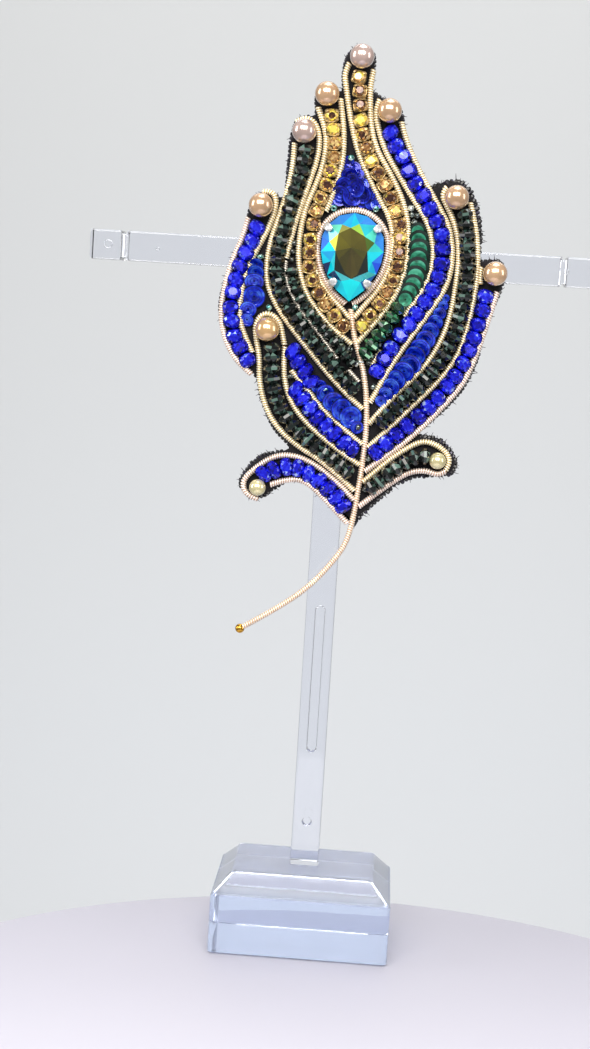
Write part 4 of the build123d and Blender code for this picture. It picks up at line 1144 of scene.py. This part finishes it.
class BROOCH_OT_gimp(bpy.types.Operator):
    """Wind the gimp along each strip and round the eye, the silver wire and the stem"""

    bl_idname = "brooch.gimp"
    bl_label = "Gimp and stem"

    def execute(self, context):
        sizes, colours = context.scene.brooch_sizes, context.scene.brooch_colours
        # The second colour of each wire is the painted shade with tarnish in its grooves
        gold = plated_wire("champagne gold gimp", colours.gimp, linear("#D2B888"))
        rose = plated_wire("rose gold gimp", colours.stem, linear("#DCC2AA"), 0.34)
        pale = plated_wire("pale pink gold gimp", colours.ring, linear("#CDB4A4"))
        silver = plated_wire("silver gimp", linear("#F8F2E8"), linear("#C2BCB2"))
        width, pitch, stem = sizes.gimp_width / MM, sizes.gimp_pitch / MM, sizes.stem_width / MM
        for node, route in GIMP_ROUTES.items():
            coil = wound_wire(route, width, pitch)
            put_coil(node.replace("gimp", "coil"), coil, pale if node in PALE_GIMP else gold, [node])
        for name, route in SHORT_GIMP.items():
            put_coil("coil_" + name, wound_wire(route, width * 0.9, pitch), gold)
        # The ring stays open where its two sides would meet under the tip
        line = pear_line(0.1 + width / 2)
        line = line[(line[:, 1] > EYE_AT[1] - 5) | (np.abs(line[:, 0] - EYE_AT[0]) > 0.45 * width)]
        put_coil("coil_eye_ring", wound_line(*evenly(line, pitch / 4), width, pitch), pale, ["gimp_eye_ring"])
        thin, thin_pitch = sizes.silver_width / MM, sizes.silver_pitch / MM
        coil = wound_wire(SILVER_ROUTE, thin, thin_pitch)
        put_coil("silver_coil", coil, silver, ["silver_wire_left"])
        put_coil("silver_coil_tail", wound_wire(SILVER_TAIL, thin, thin_pitch), silver, ())
        put_coil("stem_coil", wound_wire(STEM_ROUTE, stem, pitch), rose, ["stem_wire"])
        # Polished gold, a sharp warm mirror
        bright = blank_material("polished gold ball")
        finished(bright, Base_Color=colours.ball, Metallic=1.0, Roughness=0.12)
        end = flat(on_drawing(STEM_ROUTE[-1:]), stem / 2)[0]
        put("stem_ball", moved(ball(sizes.ball_width / MM), end), bright, smooth=True)
        return {"FINISHED"}


# Pearls


def drilled_pearl(width, bore=0.7, rows=30, sides=40):
    """A sphere about its X axis with a fine hole: an arc from mouth to mouth, then back down the bore."""
    radius = width / 2
    mouth = asin(bore / 2 / radius)
    line = headings(np.linspace(mouth, pi - mouth, rows)) * (-radius, radius)
    inside = [(line[-1, 0] - 0.15, bore * 0.42), (line[0, 0] + 0.15, bore * 0.42)]
    return looped(carried_round(np.vstack((line, inside)), sides))


class BROOCH_OT_pearls(bpy.types.Operator):
    """Make the pearl at the end of each barb"""

    bl_idname = "brooch.pearls"
    bl_label = "Pearls"

    def execute(self, context):
        colours = context.scene.brooch_colours
        glazes = {
            "peach": pearl_glaze("peach pearl glaze", colours.peach),
            "lilac": pearl_glaze("lilac pearl glaze", colours.lilac),
            "gold": pearl_glaze("golden pearl glaze", colours.golden),
            "cream": pearl_glaze("cream pearl glaze", colours.cream),
        }
        for node, place, glaze in PEARLS:
            low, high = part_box(node)
            width = (high.x - low.x) / MM
            pearl = moved(drilled_pearl(width), (*on_drawing(place), width / 2))
            put(node + "_bead", pearl, glazes[glaze], [node], smooth=True)
        return {"FINISHED"}


# Cut stones


def bent_claw(spine, sides):
    """An oval carried up a bent line, and closed at both ends.

    Ring: how far out it lies, its height, half its width, and half its thickness outwards and upwards.
    """
    turns = round_turns(sides)
    return capped(np.stack([
        np.column_stack((out + thick * np.cos(turns), wide * np.sin(turns), up + tall * np.cos(turns)))
        for out, up, wide, thick, tall in spine[::-1]]))


# How a string's stones look. Length and cup are shares of the pitch, and wide is how much wider than
# long both are. Moods are how bright each stone is painted, and a share dark_hearts of them has a
# table painted dark, as painted shade where it looks down to the dark of the cup. Claw is the half width of a
# claw in millimetres.
StoneLook = namedtuple("StoneLook", "length cup wide moods dark_hearts claw glass metal slot")
# How much the painted reflection varies from facet to facet of the table, stars, kites, girdle and pavilion
FACET_SPREAD = np.array([0.1, 0.2, 0.22, 0.2, 0.05])


def cut_rings(radius, rows):
    """Rows of eight corners, each row a (share of the radius, height, 1 if half a step round)."""
    eighths, step = np.arange(8), pi / 4
    return np.vstack([
        flat(radius * share * headings((eighths + half / 2) * step), height) for share, height, half in rows])


def chaton(width):
    """A cut stone and what its facets are: 0 for the table's, 1 star, 2 kite, 3 girdle and 4 pavilion.

    Each row of eight corners is turned half a step from the one inside it, so that the facets
    between them are triangles and kites.
    """
    corners = np.vstack(([(0.0, 0.0, 2.2)], cut_rings(width / 2, [
        (0.56, 2.2, 0), (0.8, 1.9, 1), (0.98, 1.5, 0), (0.98, 1.5, 1), (0.98, 1.2, 0), (0.98, 1.2, 1),
        (0.7, 0.05, 0)])))
    k = np.arange(8)
    n = (k + 1) % 8
    table, mid, high_f, high_h, low_f, low_h, foot = (1 + 8 * row + k for row in range(7))
    triangles = np.vstack((
        np.column_stack((np.zeros(8, int), table, table[n])),
        np.column_stack((table, mid, table[n])),
        np.column_stack((mid, high_f, high_h)),
        np.column_stack((mid, high_h, high_f[n])),
        np.column_stack((low_f, foot, low_h)),
        np.column_stack((low_h, foot, foot[n])),
        np.column_stack((low_h, foot[n], low_f[n]))))
    quads = np.vstack((
        np.column_stack((table, np.roll(mid, 1), high_f, mid)),
        np.column_stack((high_f, low_f, low_h, high_h)),
        np.column_stack((high_h, low_h, low_f[n], high_f[n]))))
    kinds = np.repeat([0, 1, 3, 3, 4, 4, 4, 2, 3, 3], 8)
    return (corners, [triangles, quads, foot[::-1][None]]), np.concatenate((kinds, [4]))


def claw_cup(width, claw):
    """A sew-on cup: a square-cornered rim round the stone, and four claws that fold over the girdle."""
    radius, thick, bulge = width / 2, 0.45 * claw, 0.05
    square = 1 + bulge * np.cos(4 * (round_turns(16) - pi / 4))
    # Rim: share of the radius, height
    profile = [(0.9, 0.0), (1.02, 0.1), (1.04, 1.35), (0.99, 1.5), (0.9, 1.45), (0.86, 0.1)]
    rings = lathed([(radius * share, height) for share, height in profile], 16)
    rings[..., :2] *= square[:, None]
    # Claw: share of the radius, height, share of its width, how much of its thickness points out and up
    spine = [
        (1.04, 0.7, 1.0, 1.0, 0.0), (1.05, 1.5, 1.0, 1.0, 0.0), (0.93, 1.88, 0.9, 0.5, 0.9),
        (0.76, 2.05, 0.6, 0.5, 0.9)]
    hook = bent_claw([
        (radius * share, height, claw * own, thick * own * out, thick * own * up)
        for share, height, own, out, up in spine], 6)
    claws = repeated(hook, np.zeros((4, 3)), lying_axes(headings(pi / 4 + round_turns(4))))
    return joined([looped(rings), claws])


def strung(routes, pitch):
    """Stations along one or more routes: places, tangents."""
    found = [smooth_route(on_drawing(route), pitch, whole=False) for route in routes]
    return np.vstack([at for at, _ in found]), np.vstack([way for _, way in found])


def stone_string(name, routes, pitch, look, rng):
    """The stones of one string in one piece, and their cups in another."""
    at, ways = strung(routes, pitch)
    stone, kinds = chaton(pitch * look.length)
    n = len(at)
    axes = turned(lying_axes(ways), rng.normal(0, 0.2, n), rng.normal(0, 0.08, n), rng.normal(0, 0.08, n))
    axes[:, 1] *= look.wide
    # Painted light: each stone's brightness and each facet's reflection are painted, dark hearts are painted
    # shade, and the bright stone a painted highlight
    mood = rng.choice(look.moods, n)[:, None]
    values = mood + rng.normal(0, 1, (n, len(kinds))) * FACET_SPREAD[kinds]
    chance = rng.random(n)[:, None]
    hearts = (chance < look.dark_hearts) & (kinds == 0)
    hearts |= (chance < look.dark_hearts / 2) & (kinds == 1)
    if name in BRIGHT_STONES:
        lit = np.argmin(np.linalg.norm(at - on_drawing([BRIGHT_STONES[name]]), axis=1))
        values[lit] += 0.97 - mood[lit]
        hearts[lit] = False
    values = np.clip(np.where(hearts, rng.uniform(0, 0.14, values.shape), values), 0, 1)
    # Copies come kind by kind: all triangles first, then quads, then soles
    splits = np.split(values, np.cumsum([len(face) for face in stone[1]])[:-1], axis=1)
    facets = np.concatenate([part.ravel() for part in splits])
    put(name + "_glass", repeated(stone, flat(at, 0.05), axes), look.glass, [name], facets=facets)
    cups = repeated(claw_cup(pitch * look.cup, look.claw), flat(at, 0.0), axes)
    put(name + "_cups", cups, look.metal)


class BROOCH_OT_stones(bpy.types.Operator):
    """Set the strings of gold and blue stones"""

    bl_idname = "brooch.stones"
    bl_label = "Cut stones"

    def execute(self, context):
        sizes, colours = context.scene.brooch_sizes, context.scene.brooch_colours
        rng = np.random.default_rng(5)
        # Each ramp runs from painted shade through the stone's own colour to painted glints
        topaz = foiled_glass("champagne stone on foil", [
            (0.0, linear("#160704")), (0.2, linear("#421C0C")), (0.44, linear("#92632F")),
            (0.64, linear("#CCA066")), (0.84, linear("#F2D68C")), (1.0, linear("#FFF06A"))], 0.1, 0.8)
        sapphire = foiled_glass("sapphire stone on foil", [
            (0.0, linear("#03023C")), (0.3, linear("#08068C")), (0.55, linear("#0E0EDC")),
            (0.8, linear("#2634FF")), (0.95, linear("#5A76FF")), (1.0, linear("#B0C8FF"))], 0.12, 0.5)
        brass = plated_cup("gold plated cup", colours.cup)
        blued = plated_cup("blued steel cup", linear("#0A10A0"))
        gold = StoneLook(
            length=0.88, cup=1.0, wide=1.08, moods=(0.3, 0.44, 0.54, 0.64, 0.8), dark_hearts=0.66, claw=0.42,
            glass=topaz, metal=brass, slot="gold_stone")
        blue = StoneLook(
            length=1.04, cup=1.08, wide=1.16, moods=(0.3, 0.42, 0.5), dark_hearts=0.0, claw=0.16,
            glass=sapphire, metal=blued, slot="blue_stone")
        # The small blue stones sit close, and are drawn wider to fill their strips
        small_blue = blue._replace(length=1.14, cup=1.18, wide=1.42)
        gap = sizes.stone_gap / MM
        pitch, small_pitch = sizes.stone_width / MM + gap, sizes.small_stone_width / MM + gap
        for routes_of, step, look in (
                (GOLD_STONE_ROUTES, pitch, gold), (BLUE_STONE_ROUTES, pitch, blue),
                (SMALL_BLUE_STONE_ROUTES, small_pitch, small_blue)):
            for name, routes in routes_of.items():
                stone_string(name, routes, step, look, rng)
        return {"FINISHED"}


# Rondelles, sequins and seed beads


def rondelle(width, long):
    """A faceted bead about its X axis: a belt of eight corners, and eight half a step round on each side."""
    end = long / 2
    rings = cut_rings(width / 2, [
        (0.3, -end, 1), (0.55, -end, 1), (1.0, -0.28 * end, 0), (1.0, 0.28 * end, 0), (0.55, end, 1),
        (0.3, end, 1)])
    k = np.arange(8)
    n = (k + 1) % 8
    at = [k + 8 * row for row in range(6)]
    quads = np.vstack([
        np.column_stack((at[row], at[row][n], at[up][n], at[up]))
        for row, up in ((0, 1), (2, 3), (4, 5), (5, 0))])
    triangles = np.vstack((
        np.column_stack((at[1], at[2][n], at[2])), np.column_stack((at[1], at[1][n], at[2][n])),
        np.column_stack((at[4], at[3], at[3][n])), np.column_stack((at[4], at[3][n], at[4][n]))))
    return rings[:, [2, 0, 1]], [triangles, quads]


def cup_sequin(width, cup, bands):
    """A cup sequin about its Z axis, from its hole out to its rim, and how light each face is painted, as
    painted shade and painted sheen.

    Bands are (share of the radius, share of the cup's height, how light the film is painted out to there).
    """
    radius, hole, thick, sides, edge_light = width / 2, 0.2, 0.07, 20, 0.5
    line = [(hole, 0.0)] + [(radius * share, cup * up) for share, up, _ in bands]
    line += [(out, up + thick) for out, up in line[::-1]]
    light = [tone for _, _, tone in bands]
    light = np.array(light + [edge_light] + light[::-1] + [edge_light])
    # The rings run from the last to the first for outward faces, and the bands' lightness with them
    return looped(lathed(line, sides)[::-1]), np.repeat(np.roll(light[::-1], -1), sides)


def film_row(sequins, cup, bands, rng, jitter):
    """Sequins along a row, each with its upper edge lifted over the one before it."""
    row = np.array(sequins, float)
    at = on_drawing(row[:, :2])
    ways = -np.gradient(at, axis=0)
    ways /= np.linalg.norm(ways, axis=1)[:, None]
    n = len(at)
    tilt = np.radians(row[:, 3]) + rng.normal(0, 0.4 * jitter, n)
    axes = turned(lying_axes(ways), rng.normal(0, 3 * jitter, n), tilt, rng.normal(0, jitter, n))
    places = flat(at, row[:, 2] / 2 * np.sin(tilt) + 0.15)
    made = [cup_sequin(width, cup, bands) for width in row[:, 2]]
    shapes = [repeated(shape, places[k:k + 1], axes[k:k + 1]) for k, (shape, _) in enumerate(made)]
    return joined(shapes), np.concatenate([light for _, light in made])


class BROOCH_OT_beads(bpy.types.Operator):
    """String the dark rondelles, lay the sequins and sew the seed beads in the corners"""

    bl_idname = "brooch.beads"
    bl_label = "Beads and sequins"

    def execute(self, context):
        sizes, colours = context.scene.brooch_sizes, context.scene.brooch_colours
        rng = np.random.default_rng(23)
        # Each facet is painted its own brightness, from near black to painted glints
        jet = dark_glass("black green rondelle glass", [
            (0.0, linear("#030505")), (0.62, linear("#09100E")), (0.82, linear("#1C2E29")),
            (1.0, linear("#5E7A70"))])
        emerald = dark_glass("bottle green rondelle glass", [
            (0.0, linear("#04140C")), (0.5, linear("#0E3A24")), (0.85, linear("#2F7A50")),
            (1.0, linear("#A6D9B4"))])
        gap = sizes.bead_gap / MM
        for routes, width, long in (
                (RONDELLE_ROUTES, sizes.bead_width / MM, sizes.bead_length / MM),
                (SMALL_RONDELLE_ROUTES, sizes.small_bead_width / MM, sizes.small_bead_length / MM)):
            bead = rondelle(width, long)
            for name, route in routes.items():
                at, ways = strung([route], long + gap)
                n = len(at)
                lean = rng.normal(0, 0.06, (2, n))
                axes = turned(lying_axes(ways), *lean, rng.uniform(0, pi / 4, n))
                values = np.concatenate([rng.random(n * len(face)) for face in bead[1]])
                glass = emerald if name == "green_beads" else jet
                shape = repeated(bead, flat(at, width / 2), axes)
                put(name + "_glass", shape, glass, [name], facets=values)

        green = sequin_film("teal green sequin film", colours.green_film, linear("#5CC4A2"), 0.4, 0.3)
        blue = sequin_film("royal blue sequin film", colours.blue_film, linear("#4A7CFF"), 0.26, 0.45)
        navy = sequin_film("crumpled navy sequin film", linear("#121CB8"), linear("#2E4CF4"), 0.2, 0.5)
        # The flat sequins are light inside with painted shadow on the outer rim, under the next one's lifted
        # edge; the cupped ones have painted sheen and painted shade in rings
        flat_rim = [(0.3, 0.0, 1.0), (0.69, 0.6, 1.0), (0.71, 0.62, 0.0), (1.0, 1.0, 0.0)]
        cupped = [
            (0.34, 0.0, 0.7), (0.42, 0.45, 0.5), (0.68, 0.55, 0.8), (0.74, 0.8, 0.3), (0.92, 0.95, 1.0),
            (1.0, 1.0, 0.1)]
        # Sequins that differ from the common blue ones: film, bands, jitter, slot
        common = (blue, cupped, 0.06, "blue_sequin")
        special = {
            "green_sequins": (green, flat_rim, 0.06, "green_sequin"),
            "blue_sequins_top": (navy, cupped, 0.14, "blue_sequin"),
        }
        for seed, (name, row) in enumerate(SEQUINS.items()):
            film, bands, jitter, slot = special.get(name, common)
            shape, light = film_row(row, sizes.sequin_cup / MM, bands, np.random.default_rng(seed), jitter)
            put(name + "_film", shape, film, [name], facets=light)

        # Seed glass: its dark, middle and light colours, from painted shade to painted glints, painted onto
        # its faces by chance, and where the middle one lies between them
        seed_glass = {
            "teal": ("#0B4A4A", "#3FA6A0", "#D8F5F0", 0.6),
            "clear": ("#6E7A74", "#C8D2CC", "#FFFFFF", 0.6),
            "dark": ("#030405", "#141C1A", "#7C8A86", 0.7),
        }
        width = sizes.seed_width / MM
        for name, places in SEED_BEADS.items():
            dark, middle, light, place = seed_glass[name]
            stops = [(0.0, linear(dark)), (place, linear(middle)), (1.0, linear(light))]
            glass = foiled_glass(f"{name} seed glass", stops)
            at = on_drawing(places)
            n = len(at)
            axes = turned(lying_axes(headings(rng.uniform(0, pi, n))), 0.0, rng.normal(0, 0.4, n))
            shape = repeated(seed_bead(width, 10, 0.72), flat(at, width / 2), axes)
            facets = rng.random(len(shape[1][0]))
            put(f"seed_beads_{name}", shape, glass, smooth=True, facets=facets)
        return {"FINISHED"}


# Eye


def pear_at(turns):
    """Points of the pear, from its middle, at these turns: 0 is right, 0.25 the top and 0.75 the tip.

    Each quarter of the round end and each long side takes a quarter turn.
    """
    round_r, side_r, shift = pear_sizes()
    end = acos(shift / side_r)
    turns = np.asarray(turns, float) % 1
    angle = turns * 2 * pi
    side = np.where(turns < 0.75, (turns - 0.5) * 4, (1 - turns) * 4) * end
    hand = np.where(turns < 0.75, -1, 1)
    x = np.where(turns <= 0.5, round_r * np.cos(angle), hand * (side_r * np.cos(side) - shift))
    y = np.where(turns <= 0.5, round_r * np.sin(angle), -side_r * np.sin(side))
    return np.column_stack((x, y))


def pear_cut():
    """The pear crystal and each facet's colour, with painted reflections and painted shade: table, stars
    between its corners, kites, girdle and back.

    Each of the eight corners of the table has a point of the girdle across from it, and each star's tip
    another. The kites and the lower facets join them.
    """
    table, tips, under = (on_drawing(points) for points in (EYE_TABLE, EYE_TIPS, EYE_UNDER))
    girdle = np.stack((pear_at(EYE_GIRDLE), pear_at(EYE_BETWEEN)), 1).reshape(-1, 2)
    table_up, tips_up, girdle_top, girdle_foot, foot_up, foot_share = 5.2, 4.35, 3.3, 2.7, 0.7, 0.3
    # Rows of corners: table, tips, girdle above, girdle below, foot, what lies under the table
    corners = np.vstack((
        flat(table, table_up), flat(tips, tips_up), flat(girdle + EYE_AT, girdle_top),
        flat(girdle + EYE_AT, girdle_foot), flat(girdle * foot_share + EYE_AT, foot_up),
        flat(under, table_up)))
    k = np.arange(8)
    n = (k + 1) % 8
    tip, facing, between, o = 8 + k, 16 + 2 * k, 17 + 2 * k, 64
    stars = np.column_stack((k, tip, n))
    kites = np.stack((np.column_stack((k, 8 + (k - 1) % 8, facing)), np.column_stack((k, facing, tip))), 1)
    after = 16 + 2 * n
    lower = np.stack((np.column_stack((tip, facing, between)), np.column_stack((tip, between, after))), 1)
    heart = np.array([
        (o, 0, 1), (o, 1, 2), (o, 2, o + 1), (o, o + 1, o + 2), (o, o + 2, 4), (o, 4, o + 3),
        (o, o + 3, o + 4), (o, o + 4, 6), (o, 6, 7), (o, 7, 0), (2, 3, o + 1), (3, o + 2, o + 1),
        (3, 4, o + 2), (5, 6, o + 4), (5, o + 4, o + 3), (4, 5, o + 3)])
    j = np.arange(16)
    i = (j + 1) % 16
    belts = [np.column_stack((row + j, row + 16 + j, row + 16 + i, row + i)) for row in (16, 32)]
    # Colours of the facets, given one by one: the coating's hue with painted reflections and painted shade in
    # it
    star_codes = ["#9A9A48", "#F2F060", "#10D8E8", "#14B8C0", "#18B4BC", "#00E8F4", "#4F6E22", "#A8DC50"]
    kite_codes = [
        "#10D0F0", "#20B8F0", "#6FE8C8", "#50C8D8", "#00E0F8", "#1CB0F0", "#00E4F8", "#0A3A70",
        "#00F0FA", "#00F0FA", "#60F0F0", "#20C8F0", "#00E8FA", "#2AD8D0", "#58E8D0", "#28C8D8"]
    lower_codes = [
        "#2E88E0", "#3A8AE0", "#3A90F0", "#2070E0", "#00D8F8", "#0A2A60", "#14B0CC", "#00D8F0",
        "#00DCF4", "#1468B8", "#1E58F0", "#2A80F8", "#2C90F0", "#2E8AE8", "#2E8AE8", "#20A0F0"]
    heart_codes = [
        "#5E5812", "#66600F", "#4E4A0C", "#3E3A0C", "#443C12", "#4C4416", "#443E12", "#4A4A0E", "#56500E",
        "#5A5410", "#0E2018", "#0A1A14", "#14241A", "#0C201C", "#0A1A18", "#12221A"]
    triangles = np.vstack((stars, kites.reshape(-1, 3), lower.reshape(-1, 3), heart))
    codes = star_codes + kite_codes + lower_codes + heart_codes + ["#1A5AA8"] * 16 + ["#0A1A40"] * 17
    return (corners, [triangles, np.vstack(belts), (48 + j)[::-1][None]]), codes


def claw_setting():
    """The wall round the crystal's foot, a profile carried along the pear, and four bent claws."""
    under_girdle, step = 0.6, 0.5
    line, ways = evenly(pear_line(-under_girdle)[:-1], step)
    left = np.column_stack((-ways[:, 1], ways[:, 0]))
    # Wall: how far out, height
    profile = [(0.25, 0.0), (0.25, 2.1), (-0.25, 2.1), (-0.25, 0.4), (-0.25, 0.0)]
    wall = looped(np.stack([flat(line + left * out, up) for out, up in profile], 1))
    # Claw: how far out, height, share of its width
    spine = [
        (-0.3, 1.1, 1.0), (0.38, 2.0, 1.0), (0.42, 2.9, 1.0), (0.2, 3.6, 1.0), (-0.5, 4.5, 0.95),
        (-1.2, 4.75, 0.55)]
    half_width, half_thick, half_tall = 0.88, 0.26, 0.12
    hook = bent_claw([
        (out, up, half_width * share, half_thick * share, half_tall * share) for out, up, share in spine], 10)
    # Turns round the pear where the claws stand, and which way they face there
    feet = pear_at([0.097, 0.411, 0.655, 0.845]) + EYE_AT
    facing = np.radians([35.0, 148.0, 216.6, -36.6])
    return joined([wall, repeated(hook, flat(feet, 0.0), lying_axes(headings(facing)))])


class BROOCH_OT_eye(bpy.types.Operator):
    """Cut the pear crystal and set it in its cup with four claws"""

    bl_idname = "brooch.eye"
    bl_label = "Eye crystal"

    def execute(self, context):
        shape, codes = pear_cut()
        crystal = coated_crystal("green and turquoise coated crystal")
        colours = np.array([linear(code)[:3] for code in codes])
        put("eye_crystal_cut", shape, crystal, ["eye_crystal"], colours=colours)
        silver = bright_steel("silver plated claw setting", linear("#F2F3F5"), 0.26, 0.65)
        put("eye_claws", claw_setting(), silver, ["eye_setting"], smooth=True)
        return {"FINISHED"}


class BROOCH_OT_pin(bpy.types.Operator):
    """Finish the pin behind the felt"""

    bl_idname = "brooch.pin"
    bl_label = "Pin"

    def execute(self, context):
        dress("bar_pin", bright_steel("nickel plated pin", context.scene.brooch_colours.silver))
        return {"FINISHED"}


class BROOCH_PT_panel(bpy.types.Panel):
    """Sidebar panel with one button for each group of pieces, the sizes and the colours"""

    bl_idname = "BROOCH_PT_panel"
    bl_label = "Feather brooch"
    bl_space_type = "VIEW_3D"
    bl_region_type = "UI"
    bl_category = "Brooch"

    def draw(self, context):
        for step in STEPS:
            self.layout.operator(step.bl_idname)
        for group in (context.scene.brooch_sizes, context.scene.brooch_colours):
            box = self.layout.box()
            for name in group.bl_rna.properties.keys():
                if name not in ("rna_type", "name"):
                    box.prop(group, name)


STEPS = (
    BROOCH_OT_stage, BROOCH_OT_stand, BROOCH_OT_felt, BROOCH_OT_edge, BROOCH_OT_gimp, BROOCH_OT_pearls,
    BROOCH_OT_stones, BROOCH_OT_beads, BROOCH_OT_eye, BROOCH_OT_pin)
CLASSES = (BroochSizes, BroochColours, *STEPS, BROOCH_PT_panel)


def register():
    for cls in CLASSES:
        bpy.utils.register_class(cls)
    bpy.types.Scene.brooch_sizes = bpy.props.PointerProperty(type=BroochSizes)
    bpy.types.Scene.brooch_colours = bpy.props.PointerProperty(type=BroochColours)


def unregister():
    del bpy.types.Scene.brooch_colours
    del bpy.types.Scene.brooch_sizes
    for cls in reversed(CLASSES):
        bpy.utils.unregister_class(cls)


def main():
    """Makes every piece in order."""
    register()
    bpy.ops.brooch.stage()
    bpy.ops.brooch.stand()
    bpy.ops.brooch.felt()
    bpy.ops.brooch.edge()
    bpy.ops.brooch.gimp()
    bpy.ops.brooch.pearls()
    bpy.ops.brooch.stones()
    bpy.ops.brooch.beads()
    bpy.ops.brooch.eye()
    bpy.ops.brooch.pin()


if __name__ == "__main__":
    main()
